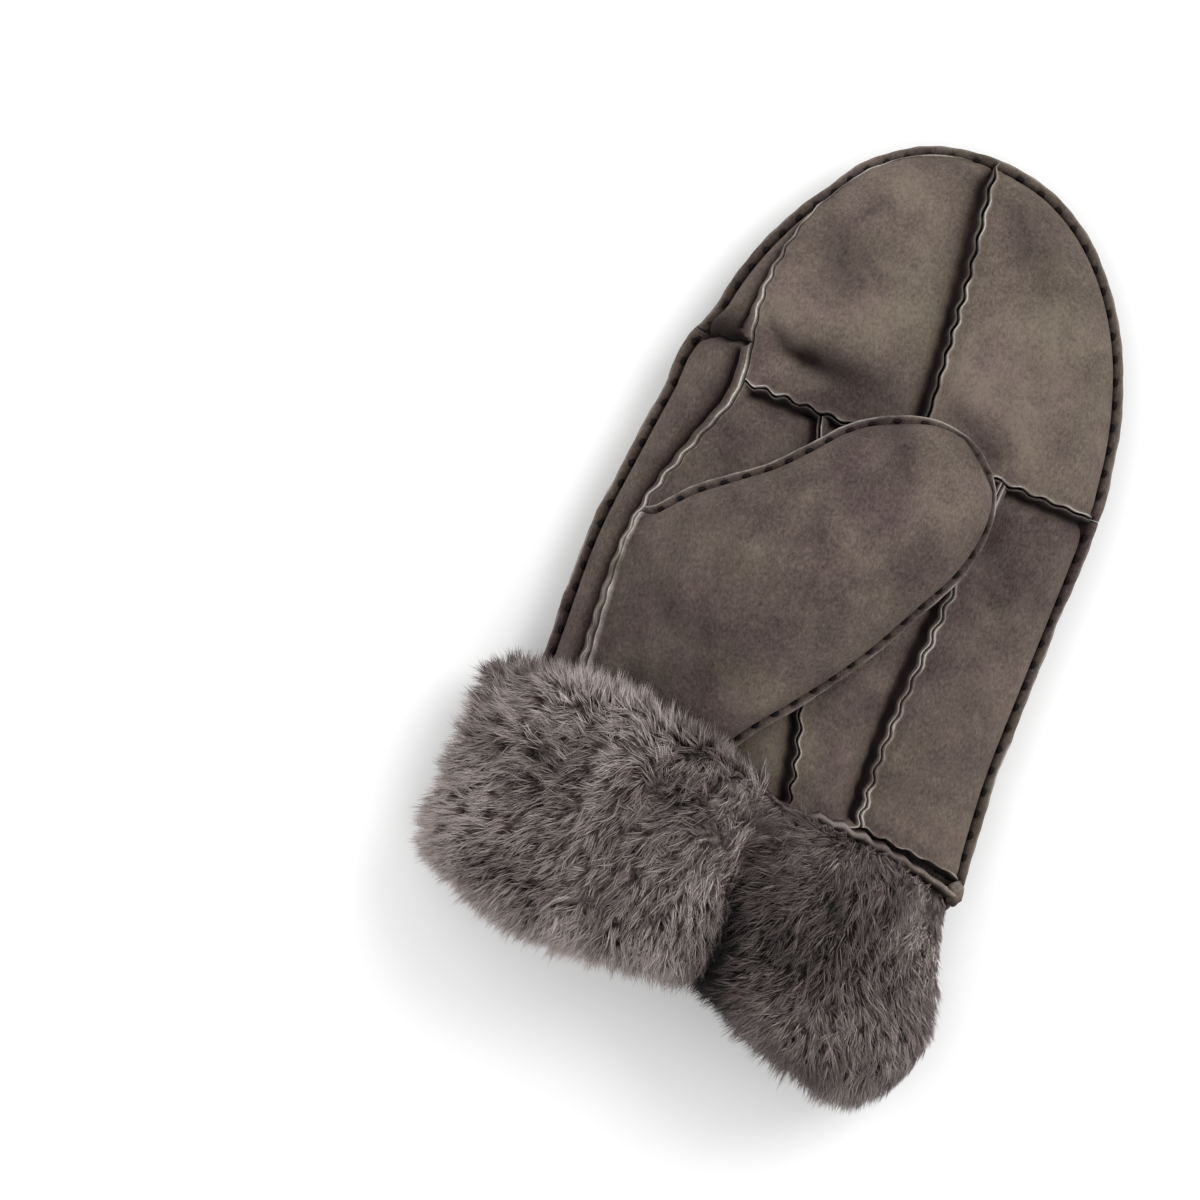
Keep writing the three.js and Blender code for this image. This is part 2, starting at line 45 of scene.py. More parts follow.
hand = {
    "length": 184.5, "width": 123.0, "thickness": 35.0, "edgeHeight": 13.0, "wall": 5.5,
    "domeStart": 99.6, "domeRoundness": 2.15, "tipOffset": 4.5, "bandRow": 106.0, "sideJoinRow": 117.0,
    "wristLift": 10.0, "liftLength": 45.0,
    # share of length, left and right edge as shares of width, crown as a share of thickness
    "rows": [(0, -.504, .508, .96), (.15, -.512, .49, 1), (.3, -.515, .49, 1.01), (.45, -.49, .494, 1),
             (.54, -.472, .496, .98)],
}

# Turn of each lengthwise seam at a share of the hand's length: 0 is the thumb-side edge, 1 the outer edge.
seamTurns = {
    "thumbEdge": [(0, 0), (1, 0)],
    "outerEdge": [(0, 1), (1, 1)],
    "side": [(0, .205), (.25, .185), (.35, .188), (.48, .236), (.575, .262), (.69, .223), (.8, .175),
             (.94, .085), (1, .06)],
    "crotch": [(0, .452), (.12, .395), (.25, .285), (.315, .228), (.35, .185), (.4, .15), (1, 0)],
    "underThumb": [(0, .566), (.15, .545), (.575, .4)],
    "heel": [(0, .667), (.575, .686)],
    "tipMiddle": [(.575, .547), (.78, .537), (1, .51)],
    "backMiddle": [(0, .53), (1, .51)],
}

thumb = {
    "length": 119.0, "width": 66.0, "rise": 14.0, "seat": 8.0, "wall": 4.5, "angle": math.radians(50),
    "topRow": 64.0, "footX": -15.0, "reach": (-48.0, 18.3), "backStart": .25, "rest": 3.4,
    # along and across for each edge as shares of length and width, seat of each edge, crown
    "rows": [(.4, .485, .1, -.52, .75, .2, .72), (.49, .45, .25, -.5, 1, .75, .9),
             (.58, .415, .4, -.49, 1, 1, 1), (.67, .405, .55, -.465, 1, 1, 1),
             (.76, .4, .7, -.41, 1, 1, .96), (.85, .355, .82, -.36, 1, 1, .86),
             (.93, .265, .915, -.27, 1, 1, .68), (.98, .145, .975, -.15, 1, 1, .4),
             (.997, .05, .997, -.055, 1, 1, .06)],
}

cuff = {
    "drop": 60.0, "rise": 18.0, "pile": 12.0, "lay": 4.5,
    "creaseX": 7.0, "creaseWidth": 8.0, "creaseDepth": .75,
    # place across, top edge as a share of rise, fold as a share of drop, pile
    "rows": [(0, .72, .68, .72), (.2, .97, .82, 1.05), (.45, .72, .79, 1.05), (.6, .36, .83, 1),
             (.8, .2, .98, .95), (.92, .02, 1, .7), (1, -.2, .85, .4)],
}

mix = lambda a, b, t: a + (b - a) * t
xOf = lambda points: points[..., 0]
yOf = lambda points: points[..., 1]


# Cubic through the rows of a table, with each row's slope taken between its neighbours.
def smoothRead(table, column, at):
    table = np.asarray(table, float)
    xs, ys = table[:, 0], table[:, column]
    slope = np.gradient(ys, xs) if len(xs) < 3 else np.concatenate((
        [(ys[1] - ys[0]) / (xs[1] - xs[0])], (ys[2:] - ys[:-2]) / (xs[2:] - xs[:-2]),
        [(ys[-1] - ys[-2]) / (xs[-1] - xs[-2])]))
    at = np.clip(at, xs[0], xs[-1])
    i = np.clip(np.searchsorted(xs, at, side="left") - 1, 0, len(xs) - 2)
    w = xs[i + 1] - xs[i]
    t = (at - xs[i]) / w
    return ((2 * t**3 - 3 * t**2 + 1) * ys[i] + (t**3 - 2 * t**2 + t) * w * slope[i]
            + (3 * t**2 - 2 * t**3) * ys[i + 1] + (t**3 - t**2) * w * slope[i + 1])


def smoothStep(x, low, high):
    t = np.clip((x - low) / (high - low), 0, 1)
    return t * t * (3 - 2 * t)


def unit(v):
    return v / np.maximum(np.linalg.norm(v, axis=-1, keepdims=True), 1e-9)


def readRows(at, places, rows):
    return np.stack([np.interp(at, places, rows[:, c]) for c in range(3)], -1)


# Smooth lumps: a sum of sine waves with seeded directions, about -1 to 1, with the given wavelength in mm.
def lumps(points, wavelength, seed, waves=7):
    random = np.random.default_rng(seed)
    total = np.zeros(points.shape[:-1])
    for _ in range(waves):
        direction = unit(random.normal(size=3))
        k = 2 * np.pi / (wavelength * random.uniform(.7, 1.5))
        total += np.sin(points @ direction * k + random.uniform(0, 2 * np.pi))
    return total / math.sqrt(waves) * 1.1


palmCurve = lambda a: np.sqrt(np.maximum(0, 1 - np.abs(a) ** 2.6))
backCurve = lambda a: np.minimum(1, 1.04 * np.maximum(0, 1 - np.abs(a) ** 6) ** .4)


# How far over the dome of the fingertips a row lies, from 0 to 1, and the share of the width that is left.
def domeAt(row):
    past = np.clip((row - hand["domeStart"]) / (hand["length"] - hand["domeStart"]), 0, 1)
    return past, np.sqrt(np.maximum(0, 1 - past ** hand["domeRoundness"]))


# The section of the hand at a row: the edge's height, with a crown above and a shallower one below it.
def handSection(row, depth):
    share = row / hand["length"]
    start, length = hand["domeStart"], hand["length"]
    past, dome = domeAt(row)
    crown = smoothRead(hand["rows"], 3, share) * hand["thickness"] - depth
    lift = hand["wristLift"] * (1 - smoothStep(row, 0, hand["liftLength"]))
    left = mix(hand["tipOffset"], smoothRead(hand["rows"], 1, share) * hand["width"] + depth, dome)
    right = mix(hand["tipOffset"], smoothRead(hand["rows"], 2, share) * hand["width"] - depth, dome)
    y = np.minimum(row, start) + past * (length - depth - start)
    fall = (hand["edgeHeight"] - lift - depth) * np.sqrt(dome)
    return y, left, right, (crown - hand["edgeHeight"]) * dome**.8, fall


# A point of the hand at a row and a turn round it, over the palm or under the back, depth below its skin.
def handPoint(row, turn, side, depth):
    row, turn = np.broadcast_arrays(np.asarray(row, float), np.asarray(turn, float))
    y, left, right, rise, fall = handSection(row, depth)
    a = -np.cos(np.pi * turn)
    height = np.where(np.asarray(side) > 0, rise * palmCurve(a), -fall * backCurve(a))
    return np.stack((mix(left, right, (a + 1) / 2), y, hand["edgeHeight"] + height), -1)


def handOut(row, turn, side):
    return unit(handPoint(row, turn, side, 0) - handPoint(row, turn, side, hand["wall"]))


def turnAt(x, row):
    _, left, right, _, _ = handSection(row, 0)
    return np.arccos(-np.clip((2 * x - left - right) / (right - left), -1, 1)) / np.pi


def seamTurn(name, row):
    turn = smoothRead(seamTurns[name], 1, row / hand["length"])
    return np.maximum(turn, seamTurn("side", row)) if name == "crotch" else turn


# A cubic from b to c at share t, with slopes taken from its neighbours a and d: its place and its slope.
def cubic(a, b, c, d, t):
    s, e = (c - a) / 2, (d - b) / 2
    second, third = 3 * (c - b) - 2 * s - e, 2 * (b - c) + s + e
    return b + s * t + second * t**2 + third * t**3, s + 2 * second * t + 3 * third * t**2


# A smooth curve through points, read at a share along them.
def throughPoints(points, share):
    points = np.asarray(points, float)
    along = (len(points) - 1) * np.asarray(share, float)
    i = np.clip(along.astype(int), 0, len(points) - 2)
    t = (along - i)[..., None]
    padded = np.concatenate(([2 * points[0] - points[1]], points, [2 * points[-1] - points[-2]]))
    return cubic(*(padded[i + k] for k in range(4)), t)[0]


def thumbPlan(along, across):
    c, s = math.cos(thumb["angle"]), math.sin(thumb["angle"])
    x, y = thumb["reach"]
    return np.array([x + along * c - across * s, y + along * s + across * c, 0])


def sideSeamPlan(row):
    return handPoint(row, seamTurn("side", row), 1, 0) * np.array([1, 1, 0])


wristRow = .4
thumbRoot = [sideSeamPlan(thumb["topRow"]), sideSeamPlan(wristRow)]
thumbRowPlans = [[thumbPlan(r[k] * thumb["length"], r[k + 1] * thumb["width"]) for r in thumb["rows"]]
                 for k in (0, 2)]
halfFoot = np.array([mix(thumbRoot[1][0], thumb["footX"], .5), wristRow, 0])
thumbLeft = [thumbRoot[0], mix(thumbRoot[0], thumbRowPlans[0][0], .45)] + thumbRowPlans[0]
thumbRight = [thumbRoot[1], halfFoot] + thumbRowPlans[1]
thumbHeights = [(0, 0, 0), (.3 * thumb["seat"], 0, .4 * thumb["rise"])] + [
    (r[4] * thumb["seat"], r[5] * thumb["seat"], r[6] * thumb["rise"]) for r in thumb["rows"]]


# A point of the thumb: straight across between its two edge curves, seated on the palm, with a lens above.
def thumbPoint(share, across, isBack, depth):
    share, across, depth = np.broadcast_arrays(*(np.asarray(v, float) for v in (share, across, depth)))
    left, right, heights = (throughPoints(p, share) for p in (thumbLeft, thumbRight, thumbHeights))
    w = -np.cos(np.pi * across)
    over = (w + 1) / 2
    place = mix(left, right, over[..., None])
    bow = sideSeamPlan(mix(thumb["topRow"], wristRow, over)) - mix(*thumbRoot, over[..., None])
    place = place + bow * np.maximum(0, 1 - share * (len(thumb["rows"]) + 1))[..., None]
    inward = right - left
    room = np.linalg.norm(inward, axis=-1)
    place = place + unit(inward) * (-w * np.minimum(depth, .45 * room))[..., None]
    pull = smoothStep(share, .75, 1) * depth
    place = place - pull[..., None] * np.array([math.cos(thumb["angle"]), math.sin(thumb["angle"]), 0])
    palm = handPoint(place[..., 1], turnAt(place[..., 0], place[..., 1]), 1, 0)[..., 2]
    seat = mix(heights[..., 0], heights[..., 1], over)
    crown = palmCurve(w)
    rise = heights[..., 2]
    lens = (-np.maximum(0, seat - thumb["rest"] - depth) if isBack
            else np.maximum(.3, rise - np.minimum(depth, .8 * rise))) * crown
    place[..., 2] = palm + seat + lens
    return place


# Near the side seam the thumb's wall turns with the hand's and thins to the hide.
def thumbFrontPoint(share, across, depth):
    skin = thumbPoint(share, across, False, 0)
    row = np.clip(skin[..., 1], 0, hand["length"])
    turn = turnAt(skin[..., 0], row)
    height = skin[..., 2] - handPoint(row, turn, 1, 0)[..., 2]
    thinned = np.minimum(depth, np.maximum(1.5, height - .4))
    sewn = skin - handOut(row, turn, 1) * thinned[..., None]
    blend = smoothStep(share + 0 * across, 0, .2)[..., None]
    return mix(sewn, thumbPoint(share, across, False, thinned), blend)


# Triangles of each piece, for the last print line.
triangles = {}


# A mesh object in the part's frame from points in mm and a list of face arrays, smooth, with its materials.
def makeObject(name, points, faces, materials, materialIndex=None, values=None, uvs=None):
    points = (points + wristSpot) * toMetres
    mesh = bpy.data.meshes.new(name)
    sizes = np.concatenate([np.full(len(f), f.shape[1], np.int32) for f in faces])
    loops = np.concatenate([f.ravel() for f in faces]).astype(np.int32)
    mesh.vertices.add(len(points))
    mesh.vertices.foreach_set("co", points.astype(np.float32).ravel())
    mesh.loops.add(len(loops))
    mesh.loops.foreach_set("vertex_index", loops)
    mesh.polygons.add(len(sizes))
    starts = np.concatenate(([0], np.cumsum(sizes)[:-1])).astype(np.int32)
    mesh.polygons.foreach_set("loop_start", starts)
    if materialIndex is not None:
        mesh.polygons.foreach_set("material_index", materialIndex.astype(np.int32))
    mesh.update(calc_edges=True)
    mesh.shade_smooth()
    for key, value in (values or {}).items():
        attribute = mesh.attributes.new(key, "FLOAT", "POINT")
        attribute.data.foreach_set("value", value.astype(np.float32).ravel())
    if uvs is not None:
        layer = mesh.uv_layers.new(name="UVMap")
        layer.data.foreach_set("uv", uvs[loops].astype(np.float32).ravel())
    obj = bpy.data.objects.new(name, mesh)
    bpy.context.scene.collection.objects.link(obj)
    for material in materials:
        mesh.materials.append(material)
    mesh.validate()
    triangles[name] = int((sizes - 2).sum())
    return obj


# Shader maths as Python expressions: a wrapped socket whose operators add Math nodes.
class Wire:
    def __init__(self, graph, socket):
        self.graph, self.socket = graph, socket

    def math(self, operation, first, second):
        return self.graph.node("ShaderNodeMath", {"operation": operation}, {0: first, 1: second})

    def __add__(self, other):
        return self.math("ADD", self, other)

    def __sub__(self, other):
        return self.math("SUBTRACT", self, other)

    def __rsub__(self, other):
        return self.math("SUBTRACT", other, self)

    def __mul__(self, other):
        return self.math("MULTIPLY", self, other)

    __radd__ = __add__
    __rmul__ = __mul__

    def clamp(self):
        return self.graph.node("ShaderNodeClamp", {}, {0: self})


# A material and its nodes. node takes a type, settings and socket values. shade fills the material's shader.
class Graph:
    def __init__(self, name):
        self.material = bpy.data.materials.new(name)
        self.material.use_nodes = True
        self.tree = self.material.node_tree

    def connect(self, socket, value):
        if isinstance(value, Wire):
            self.tree.links.new(value.socket, socket)
        else:
            socket.default_value = value

    def node(self, kind, settings, inputs, output=0):
        node = self.tree.nodes.new(kind)
        for key, value in settings.items():
            if key == "stops":
                ramp = node.color_ramp
                while len(ramp.elements) < len(value):
                    ramp.elements.new(.5)
                for element, (position, colour) in zip(ramp.elements, value):
                    element.position = position
                    element.color = (*colour, 1)
            else:
                setattr(node, key, value)
        for key, value in inputs.items():
            self.connect(node.inputs[key], value)
        return Wire(self, node.outputs[output])

    def shade(self, inputs):
        for key, value in inputs.items():
            self.connect(self.tree.nodes["Principled BSDF"].inputs[key], value)
        return self.material

    def value(self, name):
        return self.node("ShaderNodeAttribute", {"attribute_name": name}, {}, "Fac")

    def place(self):
        return self.node("ShaderNodeTexCoord", {}, {}, "Object")

    def noise(self, vector, scale, detail=3, roughness=.5, distortion=0):
        sockets = {"Vector": vector, "Scale": scale, "Detail": detail, "Roughness": roughness,
                   "Distortion": distortion}
        return self.node("ShaderNodeTexNoise", {}, sockets, "Fac")

    def ramp(self, factor, stops):
        return self.node("ShaderNodeValToRGB", {"stops": stops}, {0: factor})

    def mixColour(self, factor, a, b, blend="MIX"):
        return self.node("ShaderNodeMix", {"data_type": "RGBA", "blend_type": blend, "clamp_factor": True},
                         {0: factor, 6: a, 7: b}, 2)

    def bump(self, height, strength, distance):
        sockets = {"Height": height, "Strength": strength, "Distance": distance}
        return self.node("ShaderNodeBump", {}, sockets)


# Suede: taupe hide, cloudy mottling with painted light and shade spots, brushed nap, painted valley shade,
# pale raw edges.
suedeLook = {
    "deep": (.045, .032, .031), "dark": (.073, .057, .052), "mid": (.105, .084, .073),
    "pale": (.172, .143, .118), "rawEdge": (.7, .66, .6, 1), "valleyShade": (.008, .0052, .0056, 1),
    "purple": (1.04, .96, 1.0, 1), "olive": (1.0, 1.0, .93, 1), "sheenTint": (.85, .78, .72, 1),
    "roughness": .95, "napDepth": .0005,
}


def makeSuede():
    look = suedeLook
    g = Graph("suede")
    place = g.place()
    broad = g.noise(place, 24, 3, .5, .8)
    patch = g.noise(place, 80, 5, .62, .5)
    nap = g.noise(place, 900, 4, .7)
    brushed = g.node("ShaderNodeVectorMath", {"operation": "MULTIPLY"}, {0: place, 1: (1, .35, 1)})
    fibre = g.noise(brushed, 2400, 3, .6)
    # the hide's mottling, lifted and lowered by painted light and shade from the panel tones and spots
    tone = .5 + (broad - .5) * 1.05 + (patch - .5) + (nap - .5) * .95 + (fibre - .5) * .9 + g.value("tone")
    stops = [(.02, look["deep"]), (.3, look["dark"]), (.55, look["mid"]), (1, look["pale"])]
    colour = g.ramp(tone.clamp(), stops)
    hue = ((g.noise(place, 42, 3, .55, .4) - .5) * 3 + .5).clamp()
    colour = g.mixColour(1, colour, g.mixColour(hue, look["purple"], look["olive"]), "MULTIPLY")
    # painted shade: the dark attribute mixes near-black into seam valleys, grooves, folds and stitch pinches
    colour = g.mixColour((g.value("dark") * (.8 + patch * .35)).clamp(), colour, look["valleyShade"])
    colour = g.mixColour((g.value("pale") * (.2 + nap * 1.1)).clamp(), colour, look["rawEdge"])
    grain = nap * .6 + fibre * .5 + patch * .8
    return g.shade({"Base Color": colour, "Roughness": look["roughness"], "Specular IOR Level": .03,
                    "Sheen Weight": .04, "Sheen Roughness": .55, "Sheen Tint": look["sheenTint"],
                    "Normal": g.bump(grain, .6, look["napDepth"])})


def makeLining():
    g = Graph("wool_lining")
    curl = g.noise(g.place(), 420, 4, .65, 1.5)
    colour = g.ramp(curl, [(.25, (.02, .017, .016)), (.7, (.13, .11, .095))])
    return g.shade({"Base Color": colour, "Roughness": 1, "Normal": g.bump(curl, .9, .0015)})


def makeThread():
    g = Graph("thread")
    colour = g.ramp(g.noise(g.place(), 2200, 2, .5), [(.3, (.004, .003, .003)), (.8, (.014, .01, .011))])
    return g.shade({"Base Color": colour, "Specular IOR Level": .1, "Roughness": .7})


suede, lining, thread = makeSuede(), makeLining(), makeThread()

# How a panel ends, from the hidden inner corner over the raw edge of its leaf and down to the skin. Each row
# is the distance in from the border, the height over the skin, how pale its raw edge is and how much painted
# shade lies there.
# A height under wallMark stands for the wall's full depth. A flange's leaf rows give the share of its width
# out from the stitch line instead, and the height over the seam. "pair" is "low" with a paler raw edge.
wallMark = -3
seamProfiles = {
    "high": [(.14, -5, 0, 1), (.14, -.9, 0, 1), (.16, .75, .2, .5), (.22, 1.12, .55, 0), (.37, 1.18, .72, 0),
             (.56, 1.08, .1, 0), (.9, .78, 0, .08), (1.4, .46, 0, .2), (2.2, .36, 0, .1), (3.1, .36, 0, 0),
             (4.3, .26, 0, 0), (5.8, .12, 0, 0), (7.6, .03, 0, 0)],
    "plain": [(.14, -5, 0, 1), (.14, -.9, 0, 1), (.2, .35, 0, .7), (.36, .72, .1, .25), (.56, .8, .15, .05),
              (.85, .74, 0, 0), (1.2, .6, 0, .08), (1.7, .46, 0, .12), (2.4, .36, 0, .06), (3.2, .32, 0, 0),
              (4.3, .24, 0, 0), (5.8, .12, 0, 0), (7.6, .03, 0, 0)],
    "low": [(.14, -5, 0, 1), (.3, -.9, 0, 1), (.44, .7, .02, .9), (.54, 1.05, .1, .62),
            (.72, 1.08, .12, .58), (.92, .8, .04, .75), (1.12, -.3, 0, .95), (1.45, -1.8, 0, 1),
            (1.95, -2.25, 0, 1), (2.7, -1.7, 0, .85), (3.8, -.9, 0, .42), (5.3, -.36, 0, .18),
            (7.4, -.08, 0, .05)],
    "shoulder": [(.14, -5, 0, 1), (.14, -.9, 0, 1), (.16, .85, .2, .5), (.21, 1.22, .6, 0), (.35, 1.3, 1, 0),
                 (.54, 1.15, .12, .1), (1.5, .5, 0, .25), (2.5, -.3, 0, .4), (3.1, -1.4, 0, .95),
                 (3.6, -2.4, 0, 1), (4.2, -2.1, 0, 1), (5.0, -.95, 0, .5), (6.8, -.2, 0, .12)],
    "tucked": [(.14, -5, 0, 1), (.14, -2.4, 0, 1), (.2, -2.2, 0, 1), (.35, -2.0, 0, 1), (.6, -1.75, 0, 1),
               (.95, -1.45, 0, .85), (1.4, -1.1, 0, .6), (2.0, -.8, 0, .42), (2.8, -.55, 0, .28),
               (3.7, -.36, 0, .2), (4.8, -.2, 0, .12), (6.1, -.1, 0, .06), (7.6, -.03, 0, 0)],
    "bulge": [(.14, -5, 0, 1), (.14, -2.4, 0, 1), (.16, -1.8, 0, 1), (.22, -1.1, 0, 1), (.38, -.5, 0, 1),
              (.65, 0, 0, .97), (1.05, .45, 0, .93), (1.6, .85, 0, .9), (2.4, 1.15, 0, .86),
              (3.5, 1.2, 0, .76), (4.8, .95, 0, .6), (6.2, .5, 0, .42), (7.6, .2, 0, .25)],
    "roll": [(.14, -4, 0, 1), (.14, -.5, 0, 1), (.3, .5, 0, .9), (.6, 1.1, 0, .55), (1.1, 1.75, .25, .1),
             (1.9, 2.0, .3, 0), (2.7, 1.7, .05, .2), (3.3, .9, 0, .65), (3.7, 0, 0, 1), (4.3, -.6, 0, 1),
             (5.2, -.5, 0, .85), (6.3, -.3, 0, .6), (7.6, 0, 0, .4)],
    "double": [(.14, -5, 0, 1), (.14, -.9, 0, 1), (.2, .8, .4, .2), (.45, 1.1, .62, 0), (.85, .9, .25, .1),
               (1.1, -.1, 0, 1), (1.4, -.3, 0, 1), (1.6, .8, .5, .3), (1.85, 1.3, 1, 0), (2.2, 1.1, .4, 0),
               (2.9, .5, 0, .25), (4.4, .2, 0, .08), (7.0, .03, 0, 0)],
    "flange": [(.1, .1, 0, 1), (.95, .1, 0, .6), (1, .3, .15, .1), (1.01, .66, .38, 0), (.96, .9, .42, 0),
               (.8, .98, .05, .05), (.5, .85, 0, .3), (.2, .3, 0, .9), (.3, -.3, 0, .95), (.9, -.1, 0, .4),
               (1.7, .15, 0, .12), (3.0, .22, 0, 0), (5.0, .15, 0, 0)],
}
seamProfiles = {name: np.array(rows) for name, rows in seamProfiles.items()}
seamProfiles["pair"] = seamProfiles["low"].copy()
seamProfiles["pair"][2:6, 2:] = [(.19, .6), (.57, .05), (.65, .05), (.15, .3)]
profileRows, leafRows = 13, 8
stitch = {"pitch": 6.1, "length": 2.7, "width": 1.2, "height": .7, "pinch": .55, "out": .34, "lift": .62}
seamWave = {"pitch": 6.4, "sway": .72, "rise": .25}
panelLook = {"spacing": 1.08, "puff": .7, "puffReach": 9.0, "lumpHeight": .4, "reach": 7.6, "floorGap": .05}
flanges = {"hand": {"width": 3.3, "grooveShade": 1.0, "level": 13.0, "wear": (1.3, .45)},
           "thumb": {"width": 2.5, "grooveShade": .22, "level": None, "wear": (.5, 1.1)}}

# Spots of painted shade and painted light on the hide: where, how wide and how much lighter or darker.
paintedLightSpots = [
    (-14, 113.5, 9, -.42), (-3, 113, 11, -.36), (-28, 148, 10, -.2), (22, 168, 13, -.2),
    (-38, 135, 16, .12), (30, 130, 20, .14), (38, 91, 6.5, -.45), (21, 114, 6, -.34), (28, 112, 5.5, -.42),
    (-8, 165, 18, .12), (8, 98, 7, -.16), (-8, 76, 7, -.1), (40, 40, 22, -.06), (-30, 40, 14, -.08),
]

# Soft folds pressed into the hide: lines of places, each with the fold's width and depth there.
palmFolds = [
    [(-41.5, 127.5, 1.4, .4), (-37.5, 122.6, 2.0, 1.7), (-33, 119.8, 2.8, 2.7), (-27, 118.4, 3.6, 3.5),
     (-20, 118.2, 4.2, 2.8), (-11, 118, 5, 1.7), (0, 116.5, 6, 1.0), (9, 115, 6.5, .5)],
    [(-31, 156, 6, .6), (-23, 139, 6, 1.1)], [(11, 176, 5, .6), (19, 168, 6, 1.2), (27, 161, 6, .8)],
    [(34, 138, 6, .6), (48, 136, 6, .5)], [(8, 117, 4, .9), (19, 118, 4, 1.4), (31, 113, 4, 1.2)],
    [(36, 97, 5, .7), (40, 84, 5, 1.1)], [(29, 60, 4, .6), (25, 38, 4.5, .9)],
    [(50, 50, 7, .5), (52, 30, 7, .4)],
    [(-48, 80, 5, .4), (-40, 92, 5, .4)], [(13, 62, 2.2, .6), (10, 44, 3, 1.2), (7, 28, 3, .7)],
]
thumbFolds = [
    [(2.5, 110, 4, .8), (7, 100, 4.6, 1.4), (10, 92, 5, .7)], [(-10, 82, 2.6, .9), (-8, 74, 2.8, .6)],
    [(-41, 47, 4, .8), (-34, 42, 4, 1.3), (-28, 38.5, 4.5, .8)], [(-33, 66, 6, .8), (-24, 58, 6.5, .8)],
    [(-20, 30, 6, .8), (-8, 40, 6, .6)], [(18, 78, 5, .7), (12, 66, 5, .5)],
    [(-30, 30, 5, .7), (-36, 22, 5, .7)],
]


# Height of a set of folds: the deepest of its lines, each minus its depth times a bell of the distance to
# it, after the place has wandered a little.
def foldHeight(points, folds):
    total = np.zeros(points.shape[:-1])
    flat = points[..., :2] + .5 * np.stack((lumps(points, 15, 31), lumps(points, 15, 32)), -1)
    for start, end in [pair for fold in folds for pair in zip(fold[:-1], fold[1:])]:
        a, b = np.array(start), np.array(end)
        along = (b - a)[:2]
        t = np.clip(((flat - a[:2]) @ along) / (along @ along), 0, 1)[..., None]
        row = a + t * (b - a)
        gap = np.linalg.norm(flat - row[..., :2], axis=-1)
        total = np.minimum(total, -row[..., 3] * np.exp(-(gap / row[..., 2]) ** 2))
    return total


# A seam's sideways wave at a length s along it: a sine that comes and goes and changes pace.
def seamSway(s):
    strength = .55 + .45 * np.sin(s / 15 + .6) * np.sin(s / 37 + 2)
    wave = np.sin(2 * np.pi * s / seamWave["pitch"] + 1.4 * np.sin(s / 19))
    return strength * wave + .35 * np.sin(s / 8.3 + 1)


